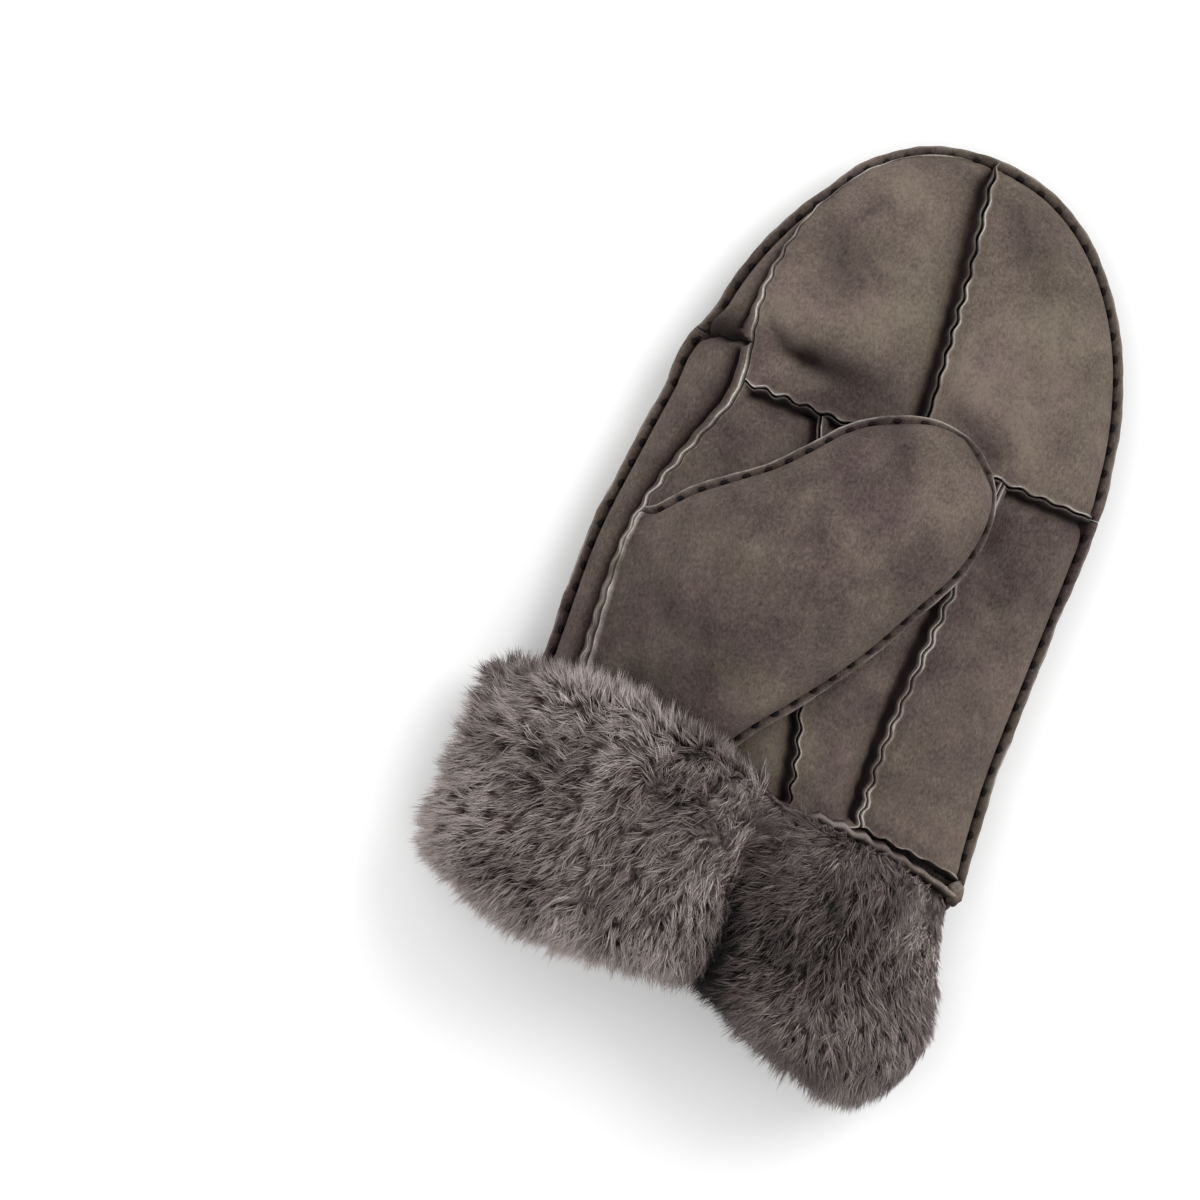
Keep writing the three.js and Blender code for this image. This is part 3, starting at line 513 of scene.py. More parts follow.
# A sewn panel of sheepskin: an outer grid that ends in a seam profile on each side, and a coarser wool grid
# inside. surface(shareI, shareJ, depth, tuck) is the skin, moved in to the stitch line of its flanges where
# tuck is 1. A point stands out from the skin by its profile's height plus the pillow, lumps and folds.
def sewnPanel(name, surface, ends, wall, waves, phases, up=1, folds=(), seed=1, node=None, flange=None,
              tone=0.):
    k, reach = profileRows, panelLook["reach"]
    profiles = [seamProfiles[end] for end in ends]
    isFlange = [end == "flange" for end in ends]
    middle = np.linspace(0, 1, 41)
    lengthOf = lambda pts: np.linalg.norm(np.diff(pts, axis=0), axis=-1).sum(0)
    rough = surface(middle[:, None], middle[None, :], 0, 1)
    acrossLength, alongLength = lengthOf(rough), lengthOf(rough.swapaxes(0, 1))

    # so many inner rows that the outer grid has three steps for each step of the wool's grid
    def count(length):
        inner = max(3, int(round((length - 2 * reach) / panelLook["spacing"])))
        return inner + (-(2 * k + inner - 1)) % 3
    innerI, innerJ = count(acrossLength.max()), count(alongLength.max())
    ni, nj = 2 * k + innerI, 2 * k + innerJ

    # Shares of the way across for each column, from its distance to the nearer border and the local length.
    # The rows of a flange all stand on its stitch line.
    def inward(profile):
        distance = profile[:, 0].copy()
        if profile is seamProfiles["flange"]:
            distance[:leafRows] = 0
        return distance[:, None]

    def shares(inner, low, high, length):
        scale = np.minimum(1, length / (2.6 * reach))
        first, last = inward(low) * scale / length, 1 - inward(high)[::-1] * scale / length
        t = np.linspace(0, 1, inner + 2)[1:-1][:, None]
        return np.concatenate((first, mix(first[-1:], last[:1], t), last))
    nominalI = shares(innerI, *profiles[:2], np.full(1, acrossLength.mean()))[:, 0]
    nominalJ = shares(innerJ, *profiles[2:], np.full(1, alongLength.mean()))[:, 0]
    lengthI, lengthJ = np.interp(nominalJ, middle, acrossLength), np.interp(nominalI, middle, alongLength)
    shareI, shareJ = shares(innerI, *profiles[:2], lengthI), shares(innerJ, *profiles[2:], lengthJ).T
    skin = surface(shareI, shareJ, 0, 1)
    out = unit(skin - surface(shareI, shareJ, wall, 1))
    dI = np.minimum(shareI, 1 - shareI) * lengthI[None, :]
    dJ = np.minimum(shareJ, 1 - shareJ) * lengthJ[:, None]

    # each column's and row's place in its profile, counted from its border, with the profile's values there
    spread = lambda low, high, inner, rest: np.concatenate((low, np.full(inner, rest), high[::-1]))
    rankI = spread(np.arange(k), np.arange(k), innerI, k)[:, None]
    rankJ = spread(np.arange(k), np.arange(k), innerJ, k)[None, :]
    column = lambda c: spread(profiles[0][:, c], profiles[1][:, c], innerI, 0.)[:, None]
    line = lambda c: spread(profiles[2][:, c], profiles[3][:, c], innerJ, 0.)[None, :]
    nearer = rankI <= rankJ
    inLeaf = np.minimum(rankI, rankJ) < leafRows
    pick = lambda a, b: np.where(nearer, a, b)
    height = np.where(inLeaf, pick(column(1), line(1)), column(1) + line(1))
    height = np.where(height < wallMark, -wall, height)
    pale = pick(column(2) + 0 * shareI, line(2) + 0 * shareI)
    # dark: painted shade from the profiles, in the seams' valleys, grooves and recesses
    dark = np.where(inLeaf, pick(column(3), line(3)), np.maximum(column(3), line(3)))

    # leaves sway sideways and up and down along the seam, the same on both of its sides
    waveI, waveJ = waves[0](skin), waves[1](skin)
    stepI, stepJ = unit(np.gradient(skin, axis=0)), unit(np.gradient(skin, axis=1))
    halves = lambda number, first, last: np.where(np.arange(number) < number / 2, first, last)
    sideI = halves(ni, isFlange[0], isFlange[1])[:, None]
    sideJ = halves(nj, isFlange[2], isFlange[3])[None, :]
    fade = lambda rank: np.clip(1.5 - rank / leafRows, 0, 1)
    points = skin + stepI * (seamWave["sway"] * seamSway(waveI) * fade(rankI) * ~sideI)[..., None]
    points += stepJ * (seamWave["sway"] * seamSway(waveJ) * fade(rankJ) * ~sideJ)[..., None]
    pale = pale * np.clip(.62 + .55 * lumps(skin, 13, 61) + .25 * lumps(skin, 4, 62), .12, 1)
    height = height + seamWave["rise"] * pale * pick(seamSway(1.3 * waveI + 9), seamSway(1.3 * waveJ + 5))

    # pillowed hide: full in the middle, easing off near the seams, with soft lumps, folds and stitch pinches
    full = (1 - np.exp(-dI / panelLook["puffReach"])) * (1 - np.exp(-dJ / panelLook["puffReach"]))
    free = smoothStep(np.minimum(dI, dJ), 2, 12)
    height = height + panelLook["puff"] * full + panelLook["lumpHeight"] * free * (
        lumps(skin, 30, seed) + .45 * lumps(skin, 12, seed + 50))
    if folds:
        pressed = foldHeight(skin, folds) * smoothStep(np.minimum(dI, dJ), .5, 4)
        height = height + pressed
        # painted shade in the folds, darker where they are pressed deeper
        dark = np.maximum(dark, np.clip(-pressed / 3.1, 0, 1) ** 1.3)
    arcI, arcJ = phases[0](skin), phases[1](skin)
    tight = lambda s: (.5 + .5 * np.cos(2 * np.pi * (s / stitch["pitch"] - .5))) ** 2
    pinch = (np.exp(-(dI / 1.5) ** 2) * tight(arcI) * sideI + np.exp(-(dJ / 1.5) ** 2) * tight(arcJ) * sideJ)
    height = height - stitch["pinch"] * pinch * ~inLeaf
    points = points + out * height[..., None]

    # flanges: the first rows lie between the stitch line and the silhouette, level with the seam
    rows = []
    for side in range(4):
        if not isFlange[side]:
            continue
        atStart, alongI = side % 2 == 0, side < 2
        cut = lambda grid, step: (grid if alongI else grid.swapaxes(0, 1))[step if atStart else -1 - step]
        border = 0. if atStart else 1.
        run = cut(shareJ if alongI else shareI, 0)
        run = (run - run[0]) / (run[-1] - run[0])
        place = (border, run) if alongI else (run, border)
        root, rim = surface(*place, 0, 1), surface(*place, 0, 0)
        reachOut = (rim - root) * (1, 1, 0)
        if not alongI:
            root = root.copy()
            root[:, 2] = flange["level"] or np.linspace(root[0, 2], root[-1, 2], len(root))
        opened = np.linalg.norm(reachOut, axis=-1, keepdims=True) / (.5 * flange["width"])
        reachOut = unit(reachOut) * flange["width"] * np.clip(opened, 0, 1)
        arc = cut(arcI if alongI else arcJ, 0)
        scallop = 1 + .02 * np.cos(2 * np.pi * arc / stitch["pitch"]) + .05 * lumps(root, 16, 41)
        wear = mix(*flange["wear"], smoothStep(root[..., 1], 30, 110))
        rank = rankJ[0] if alongI else rankI[:, 0]
        for step, (along, lift, _, shadow) in enumerate(seamProfiles["flange"][:leafRows]):
            row = root + reachOut * (along * scallop)[:, None]
            row[..., 2] += up * (lift - .45 * tight(arc) * (along < .9) * (lift > .2))
            target, shadeRow, paleRow = (cut(grid, step) for grid in (points, dark, pale))
            keep = (rank >= step) | (alongI and any(isFlange[2:]))
            target[:] = np.where(keep[:, None], row, target)
            paleRow[:] = np.where(keep, paleRow * wear, paleRow)
            # painted shade in the flange's groove and at each stitch's pinch
            spot = tight(arc) ** 1.5 * (along < .7) * (lift > .2)
            shadeRow[:] = np.where(keep, np.maximum(shadow * flange["grooveShade"], spot), shadeRow)
        raised = np.array([0, 0, up * stitch["lift"]])
        rows.append((root + reachOut * stitch["out"] + raised, np.array([0, 0, up]) + 0 * root, arc))

    # the wool side: every third column and row of the grid, evenly spread at the wall's depth
    pIn = np.linspace(0, 1, (ni - 1) // 3 + 1)[:, None]
    qIn = np.linspace(0, 1, (nj - 1) // 3 + 1)[None, :]
    marginP = np.minimum(.4, .3 / np.interp(qIn[0], middle, acrossLength))[None, :]
    marginQ = np.minimum(.4, .3 / np.interp(pIn[:, 0], middle, alongLength))[:, None]
    inner = surface(marginP * (1 - 2 * pIn) + pIn, marginQ * (1 - 2 * qIn) + qIn, wall, 1)
    mi, mj = inner.shape[:2]
    outerIndex = np.arange(ni * nj).reshape(ni, nj)
    innerIndex = np.arange(mi * mj).reshape(mi, mj) + ni * nj
    quadsOf = lambda g: np.stack((g[:-1, :-1], g[1:, :-1], g[1:, 1:], g[:-1, 1:]), -1).reshape(-1, 4)
    ringOf = lambda g: np.concatenate((g[:-1, 0], g[-1, :-1], g[:0:-1, -1], g[0, :0:-1]))
    outerQuads, innerQuads = quadsOf(outerIndex), quadsOf(innerIndex)[:, ::-1]
    ringOut, ringIn = ringOf(outerIndex), ringOf(innerIndex)
    a, b = ringIn, np.roll(ringIn, -1)
    o0, o1, o2 = ringOut[0::3], ringOut[1::3], ringOut[2::3]
    o3 = np.roll(o0, -1)
    skirt = np.concatenate([np.stack(t, -1) for t in ((o1, o0, a), (o2, o1, a), (b, o2, a), (o3, o2, b))])
    if up < 0:
        outerQuads, innerQuads, skirt = outerQuads[:, ::-1], innerQuads[:, ::-1], skirt[:, ::-1]
    allPoints = np.concatenate((points.reshape(-1, 3), inner.reshape(-1, 3)))
    allPoints[:, 2] = np.maximum(allPoints[:, 2], panelLook["floorGap"])
    # painted light and shade: each panel's tone plus the spots, on the upper faces only
    paintedLightAndTone = tone + sum(depth * np.exp(-((skin[..., 0] - x) ** 2 + (skin[..., 1] - y) ** 2) / size**2)
                        for x, y, size, depth in paintedLightSpots) * (up > 0)
    index = np.concatenate((np.zeros(len(outerQuads)), np.ones(len(innerQuads)), np.zeros(len(skirt))))
    values = {key: np.concatenate((grid.ravel(), np.zeros(mi * mj)))
              for key, grid in (("pale", pale), ("dark", dark), ("tone", paintedLightAndTone))}
    panel = makeObject(name, allPoints, [outerQuads, innerQuads, skirt], [suede, lining], index, values)
    if node:
        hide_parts(node)
    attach(panel, "root")
    return rows


# Short stitches at every pitch of the seam: lens shapes of six sides and six rings, all from one array.
def stitchObject(name, rows):
    ringCount, sides = 6, 6
    t = np.linspace(0, 1, ringCount)
    girth = np.sqrt(np.maximum(0, 1 - (2 * t - 1) ** 2)) * .92 + .08
    angle = np.arange(sides) / sides * 2 * np.pi
    pieces = []
    for line, normal, phase in rows:
        order = np.argsort(phase)
        line, normal, phase = line[order], normal[order], phase[order]
        first, last = math.ceil(phase[0] / stitch["pitch"]), math.floor(phase[-1] / stitch["pitch"])
        marks = np.arange(first, last) * stitch["pitch"] + stitch["pitch"] / 2
        marks = marks[(marks > phase[0] + 2) & (marks < phase[-1] - 2)]
        if not len(marks):
            continue
        read = lambda values, at: readRows(at, phase, values)
        centre, up = read(line, marks), unit(read(normal, marks))
        ahead = unit(read(line, marks + 1) - read(line, marks - 1))
        aside = unit(np.cross(ahead, up))
        up = np.cross(aside, ahead)
        along = (t - .5) * stitch["length"]
        sink = -.55 * (2 * t - 1) ** 4
        wide = np.cos(angle)[None, :] * girth[:, None] * stitch["width"] / 2
        high = np.sin(angle)[None, :] * girth[:, None] * stitch["height"] / 2 + sink[:, None]
        pieces.append(centre[:, None, None] + ahead[:, None, None] * along[None, :, None, None]
                      + aside[:, None, None] * wide[None, :, :, None]
                      + up[:, None, None] * high[None, :, :, None])
    rings = np.concatenate(pieces)
    index = np.arange(rings.size // 3).reshape(len(rings), ringCount, sides)
    nxt = np.roll(index, -1, axis=2)
    walls = np.stack((index[:, :-1], nxt[:, :-1], nxt[:, 1:], index[:, 1:]), -1).reshape(-1, 4)
    caps = np.concatenate((index[:, 0, ::-1], index[:, -1])).reshape(-1, sides)
    piece = makeObject(name, rings.reshape(-1, 3), [walls, caps], [thread])
    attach(piece, "root")
    print("stitches:", len(rings))


# Arc length along the hand's outline from the wrist, so that both faces of an edge share their stitches.
def outlinePhase(name):
    rows = np.linspace(0, hand["length"], 400)
    line = handPoint(rows, seamTurn(name, rows), 1, 0)
    length = np.concatenate(([0], np.cumsum(np.linalg.norm(np.diff(line, axis=0), axis=-1))))
    return lambda points: np.interp(points[..., 1], line[:, 1], length)


outlines = {name: outlinePhase(name) for name in ("thumbEdge", "outerEdge")}


# Rows from start to end. Over the dome they follow a sine, so that they close up towards its top.
def rowsBetween(start, end, share):
    if end < hand["length"]:
        return mix(start, end, share)
    span = hand["length"] - hand["domeStart"]
    first = math.asin(min(1, max(0, (start - hand["domeStart"]) / span)))
    return hand["domeStart"] + span * np.sin(mix(first, .985 * np.pi / 2, share))


# How far the flange's rim stands past the hand's own outline: by row at the thumb's edge, then outside.
rimReach = {"rows": [0, 108, 114, 118, 123, 150, 164, 172, 180],
            "thumbEdge": [0, .2, -.4, -1.9, -2.8, -1.9, -.7, 1.9, 3.2], "outerEdge": 3.0}


# The hand's skin drawn in to the stitch line: by the flange's width less the rim's reach at the outline, and
# hardly at all inside, where the ninth power of the place across or along is small.
def tuckedHand(row, turn, side, depth, tuck):
    row, turn = np.broadcast_arrays(np.asarray(row, float), np.asarray(turn, float))
    points = handPoint(np.maximum(row, 0), turn, side, depth)
    points[..., 1] += np.minimum(row, 0)
    past, dome = domeAt(row)
    a = -np.cos(np.pi * turn)
    thumbRim = np.interp(row, rimReach["rows"], rimReach["thumbEdge"])
    rim = mix(thumbRim, rimReach["outerEdge"], smoothStep(a, -.6, .6))
    weight = (tuck * flanges["hand"]["width"] - rim) * np.maximum(np.abs(a) ** 9, past**9)
    lean = unit(np.stack((a * dome, past, 0 * a), -1))
    return points - lean * weight[..., None]


def handPanel(name, side, fromSeam, toSeam, start, end, ends, tone=0., seed=1):
    def surface(across, along, depth, tuck):
        across, along = np.broadcast_arrays(across, along)
        if isinstance(start, tuple):
            row = mix(mix(*start, across), end, along)
        else:
            row = rowsBetween(start, end, along)
        turn = mix(seamTurn(fromSeam, row), seamTurn(toSeam, row), across)
        return tuckedHand(row, turn, side, depth, tuck)
    arc = outlines["outerEdge" if toSeam == "outerEdge" else "thumbEdge"]
    folds = palmFolds if name.startswith("palm") else ()
    return sewnPanel(name + "_hide", surface, ends, hand["wall"], (yOf, lambda p: xOf(p) + 40), (arc, xOf),
                     side, folds, seed, name, flanges["hand"], tone)


# For each panel its face, its two seams, its first and last row, the profiles of its four ends and its tone,
# partly its own colour and partly painted light and shade.
band, join, top = hand["bandRow"], hand["sideJoinRow"], hand["length"]
panels = [
    ("palm_low_thumb_side", 1, "crotch", "underThumb", 0, band, ("plain", "low", "low", "low"), .02),
    ("palm_low_middle", 1, "underThumb", "heel", (0, 7), band, ("high", "pair", "high", "low")),
    ("palm_low_outer", 1, "heel", "outerEdge", (7, 2.2), band, ("high", "flange", "high", "low"), -.1),
    ("palm_tip_thumb_side", 1, "side", "tipMiddle", band, top, ("plain", "low", "high", "flange"), .07),
    ("palm_tip_outer", 1, "tipMiddle", "outerEdge", band, top, ("high", "flange", "high", "flange"), .17),
    ("side_strip_low", 1, "thumbEdge", "side", 0, join, ("flange", "shoulder", "low", "tucked")),
    ("side_strip_tip", 1, "thumbEdge", "side", join, top, ("flange", "shoulder", "bulge", "flange")),
    ("back_low_thumb_side", -1, "thumbEdge", "backMiddle", 0, band, ("flange", "high", "low", "low")),
    ("back_low_outer", -1, "backMiddle", "outerEdge", 0, band, ("low", "flange", "low", "low")),
    ("back_tip_thumb_side", -1, "thumbEdge", "backMiddle", band, top, ("flange", "high", "high", "flange")),
    ("back_tip_outer", -1, "backMiddle", "outerEdge", band, top, ("low", "flange", "high", "flange")),
]
stitchRows = []
for number, panel in enumerate(panels):
    stitchRows += handPanel(*panel, seed=number + 3)
print("hand panels sewn")


cuffHide = {"turns": (.57, .992), "slant": .11, "start": -10, "border": (7, -.9), "dip": 5, "dipWidth": .09,
            "tuck": .7, "wall": 2.5}


# The cuff's own hide, seen beyond the wool at the outer side of the wrist: it ends in a thick rolled leaf.
# Its border falls in a smooth step across, with a square dip at its first end.
def cuffBand(across, along, depth, tuck):
    across, along = np.broadcast_arrays(across, along)
    first, last = cuffHide["turns"]
    turn = mix(first, last - cuffHide["slant"] * (1 - along), across)
    dip = cuffHide["dip"] * np.maximum(0, 1 - across / cuffHide["dipWidth"]) ** 2
    border = mix(*cuffHide["border"], smoothStep(across, .1, 1)) - dip
    return tuckedHand(mix(cuffHide["start"], border, along), turn, 1, depth, cuffHide["tuck"])


sewnPanel("cuff_hide", cuffBand, ("low", "low", "low", "roll"), cuffHide["wall"],
          (yOf, lambda p: xOf(p) * 1.1 + 36), (yOf, xOf), 1, (), 31, None, flanges["hand"])

knob = {"middle": (63.2, -.9, 15.8), "radii": (2.5, 3.5, 2.6), "lumps": .1, "rows": 14, "columns": 20}


# The rolled leaf ends in a small rounded knob: an ellipsoid with soft lumps.
def makeKnob():
    rows, columns = knob["rows"], knob["columns"]
    polar = (np.arange(1, rows) / rows * np.pi)[:, None]
    azimuth = (np.arange(columns) / columns * 2 * np.pi)[None, :]
    ball = (np.sin(polar) * np.cos(azimuth), np.sin(polar) * np.sin(azimuth), np.cos(polar))
    ball = np.stack(np.broadcast_arrays(*ball), -1)
    ball = np.concatenate(([[0, 0, 1.]], ball.reshape(-1, 3), [[0, 0, -1.]]))
    points = knob["middle"] + ball * knob["radii"] * (1 + knob["lumps"] * lumps(ball * 10, 9, 33))[:, None]
    index = np.arange(1, len(ball) - 1).reshape(rows - 1, columns)
    nxt = np.roll(index, -1, 1)
    quads = np.stack((index[:-1], index[1:], nxt[1:], nxt[:-1]), -1).reshape(-1, 4)
    top = np.stack((0 * index[0], index[0], nxt[0]), -1)
    low = np.stack((0 * index[0] + len(ball) - 1, nxt[-1], index[-1]), -1)
    # painted shade on the knob's side away from the hand, and a faint pale tone on the side towards it
    shade = {"pale": .12 * (ball[:, 1] > .2), "dark": np.clip(-ball[:, 1] * .8, 0, 1),
             "tone": 0 * ball[:, 0]}
    piece = makeObject("cuff_knob", points, [quads, top, low], [suede], values=shade)
    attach(piece, "root")


makeKnob()

# The thumb's inward directions at its two edges, level with the palm.
edgeShares = np.linspace(0, 1, 201)


def edgeInward(curve, sign):
    along = unit(np.gradient(throughPoints(curve, edgeShares), axis=0) * np.array([1, 1, 0]))
    return np.cross(along, [0, 0, 1.]) * sign


inwardLeft, inwardRight = edgeInward(thumbLeft, 1), edgeInward(thumbRight, -1)


# The thumb's skin drawn in to the stitch line, by the flange's width at its edges and round its tip.
def tuckedThumb(share, across, isBack, depth, tuck):
    share, across = np.broadcast_arrays(np.asarray(share, float), np.asarray(across, float))
    points = thumbPoint(share, across, True, depth) if isBack else thumbFrontPoint(share, across, depth)
    a = -np.cos(np.pi * across)
    edges = [readRows(share, edgeShares, rows) for rows in (inwardLeft, inwardRight)]
    inward = unit(mix(*edges, ((a + 1) / 2)[..., None]))
    tip = np.clip((share - .75) / .25, 0, 1) ** 1.6
    root = smoothStep(share, 0, .06)
    weight = tuck * flanges["thumb"]["width"] * np.maximum(np.abs(a) ** 9, tip) * root
    return points + inward * weight[..., None]


thumbAxis = np.array([math.cos(thumb["angle"]), math.sin(thumb["angle"]), 0])
thumbSide = np.array([-thumbAxis[1], thumbAxis[0], 0])
alongThumb = lambda p: p @ thumbAxis * 1.03
thumbPhases, thumbWaves = (alongThumb, lambda p: p @ thumbSide), (alongThumb, yOf)


def thumbFront(across, along, depth, tuck):
    return tuckedThumb(along, across, False, depth, tuck)


def thumbBack(across, along, depth, tuck):
    return tuckedThumb(mix(thumb["backStart"], 1, np.asarray(along)), across, True, depth, tuck)


stitchRows += sewnPanel(
    "thumb_front_hide", thumbFront,
    ("flange", "flange", "double", "flange"), thumb["wall"], thumbWaves, thumbPhases, 1, thumbFolds, 21,
    "thumb_front", flanges["thumb"], 0.)
stitchRows += sewnPanel(
    "thumb_back_hide", thumbBack,
    ("flange", "flange", "high", "flange"), thumb["wall"], thumbWaves, thumbPhases, -1, (), 22,
    "thumb_back", flanges["thumb"], -.1)
stitchObject("edge_stitches", stitchRows)
print("thumb and stitches done")


# How high the thumb's skin stands over the palm along the cuff's turned-back edge, round the wrist.
def thumbCovers(count):
    grid = np.linspace(0, 1, 25)
    thumbSkin = thumbPoint(.45 * grid[:, None], grid[None, :], False, 0).reshape(-1, 3)
    around = np.linspace(0, .5, count)
    spots = handPoint(0 * around, 2 * around, 1, 0)[:, 0]
    near = np.hypot(thumbSkin[None, :, 0] - spots[:, None], thumbSkin[None, :, 1] - cuff["rise"]) < 4
    height = thumbSkin[None, :, 2] - handPoint(cuff["rise"], turnAt(spots, cuff["rise"]), 1, 0)[:, None, 2]
    return around, np.where(near, height, 0).max(1)


coverPlaces, coverHeights = thumbCovers(33)


# A place round the wrist and along the hand, with the way out of the skin there and its face.
def wristFrame(around, along):
    around = np.mod(around, 1)
    side = np.where(around < .5, 1, -1)
    turn = np.where(around < .5, 2 * around, 2 * (1 - around))
    row = np.maximum(along, 0)
    base = handPoint(row, turn, side, 0)
    out = handOut(row, turn, side)
    base[..., 1] = along
    return base, out, side


# The cuff's section round the fold, from under its turned-back edge to the wool inside the mouth: a list of
# (out, along) for each place round the wrist.
def cuffProfile(around):
    base, _, side = wristFrame(around, 0 * around)
    across = np.clip(base[..., 0] / hand["width"] + .5, 0, 1)
    crease = np.where(side > 0, np.exp(-((base[..., 0] - cuff["creaseX"]) / cuff["creaseWidth"]) ** 2), 0)
    edge = cuff["rise"] * smoothRead(cuff["rows"], 1, across)
    fold = -cuff["drop"] * smoothRead(cuff["rows"], 2, across) * (1 - .1 * crease)
    pile = cuff["pile"] * smoothRead(cuff["rows"], 3, across) * (1 - cuff["creaseDepth"] * crease)
    slim = np.exp(-((across - 1) / .1) ** 2)
    pile = pile * (1 - .3 * slim)
    over = np.where(side > 0, .8 * np.interp(np.mod(around, 1), coverPlaces, coverHeights), 0)
    lay = cuff["lay"]
    rows = [
        ((lay + .2) * (1 - .9 * slim), edge - 2),
        ((lay + .4 * pile) * (1 - .88 * slim) + over, edge),
        ((lay + .85 * pile) * (1 - .82 * slim) + over, mix(.15 * fold, edge, .7)),
        ((lay + pile) * (1 - .7 * slim) + .6 * over, .15 * fold),
        ((lay + 1.06 * pile) * (1 - .2 * slim), .5 * fold),
        (lay + pile, .82 * fold), (.8 * (lay + pile), .97 * fold), (.35 * (lay + pile), fold),
        (-2.75, .92 * fold), (-5.8, .75 * fold), (-5.5, .45 * fold), (-5.5, -.4),
    ]
    flat = np.broadcast_arrays(*[value for row in rows for value in row], around)[:-1]
    return np.stack(flat, -1).reshape(*np.shape(around), len(rows), 2)


# A point of the pile: a smooth curve through the section at share s, moved in by sink along its normal, and
# carried out of the wrist's skin.
def cuffPoint(around, s, sink):
    around, s = np.broadcast_arrays(np.asarray(around, float), np.asarray(s, float))
    section = cuffProfile(around)
    rows = np.moveaxis(section, -2, 0)
    padded = np.concatenate((2 * rows[:1] - rows[1:2], rows, 2 * rows[-1:] - rows[-2:-1]))
    t = np.clip(s, 0, 1) * (len(rows) - 1)
    i = np.clip(t.astype(int), 0, len(rows) - 2)
    t = (t - i)[..., None]
    pick = lambda k: np.take_along_axis(padded, (i + k)[None, ..., None], 0)[0]
    spot, ahead = cubic(*(pick(k) for k in range(4)), t)
    normal = unit(np.stack((-ahead[..., 1], ahead[..., 0]), -1))
    spot = spot - normal * np.asarray(sink)[..., None]
    base, out, _ = wristFrame(around, spot[..., 1])
    return base + out * spot[..., :1]


def cuffNormal(around, s, sink):
    e = .002
    ds = cuffPoint(around, np.minimum(s + e, 1), sink) - cuffPoint(around, np.maximum(s - e, 0), sink)
    da = cuffPoint(around + e, s, sink) - cuffPoint(around - e, s, sink)
    return unit(np.cross(ds, da))


# Wool: tufts of locks of strands. A strand starts in the pelt, leans the way its tuft lies, bends over and
# draws in towards its lock's tip.
wool = {
    "sink": 3.4, "length": 7.6, "radius": .112, "rootLean": 38, "tipLean": 70, "clearance": .25,
    # the spread of a tuft's and a lock's twist, the shares of the length before and after the bend, how far
    # the bend and the tip draw in to the lock's, how far they scatter, and the range of the thickness
    "twist": (.28, .2), "bend": (.5, .55), "gather": (.35, .62), "scatter": (.24, .5),
    "thickness": (.7, 1.35),
    # from and to round the wrist, from and to along the section, tufts, locks in each, strands in each lock
    "fields": {
        "wool_thumb_side": (-.045, .262, .02, .66, 920, 5, 7),
        "wool_outer": (.262, .545, .01, .66, 920, 5, 7),
        "wool_back": (.53, .97, .1, .6, 360, 5, 7),
        "wool_rim": (0, 1, .52, .93, 500, 5, 7),
    },
}
# the wool's outer limit at the outer side: places along, and how far out it may stand
outerLine = ([-62, -50, -40, -31, -25, -18.5, -11.4, -7, 0, 12],
             [62.5, 68.3, 71.8, 73.6, 71, 67, 63.2, 60, 59.2, 59.5])
photoLeft, photoDown = np.array([-.934, -.358, 0]), np.array([.358, -.934, 0])


# The way the wool lies: left at the thumb side, turning down towards the outer edge, up along the top edge.
def woolFlow(around, s, points):
    x, y = points[..., 0], points[..., 1]
    lobe = smoothStep(x, cuff["creaseX"] - 5, cuff["creaseX"] + 3)
    leftTurn = 8 + 22 * smoothStep(-y, 5, 50) + 42 * smoothStep(x, -55, 2)
    rightTurn = 30 + 50 * smoothStep(x, 8, 60)
    turn = mix(leftTurn, rightTurn, lobe) + 16 * lumps(points, 26, 71)
    turn = np.radians(turn + 9 * lumps(points, 11, 72))
    palmFlow = photoLeft * np.cos(turn)[..., None] + photoDown * np.sin(turn)[..., None]
    fromTop = s + .07 * lumps(points, 6, 73) + .07 * lumps(points, 15, 74)
    up = (1 - smoothStep(fromTop, 0, .34)) * mix(1, .35, lobe)
    palmFlow = mix(palmFlow, np.array([-.3, .95, 0]), up[..., None])
    place = np.mod(around, 1)
    t = np.clip((place - .5) * 2, 0, 1)[..., None]
    backFlow = mix(np.array([.1, -.99, 0]), np.array([-.86, -.5, 0]), t)
    isBack = smoothStep(place, .5, .53)[..., None] * (1 - smoothStep(place, .97, 1))[..., None]
    flow = mix(palmFlow, backFlow, isBack)
    inside = smoothStep(s, .68, .78)[..., None]
    return unit(mix(flow, np.array([0, -1, 0.]), inside))


# The way from the cuff's crease, which slants with y, and the share of the outer lobe beyond it.
def fromCrease(x, y):
    return x - cuff["creaseX"] + .12 * y, smoothStep(x, cuff["creaseX"] - 3, cuff["creaseX"] + 4)


# How deep roots lie under the pile's surface at a share s of its section: least near both of its ends.
def sinkAt(s, depth, least):
    return depth * (1 - smoothStep(s, .72, .85)) * smoothStep(s, -.02, .06) + least


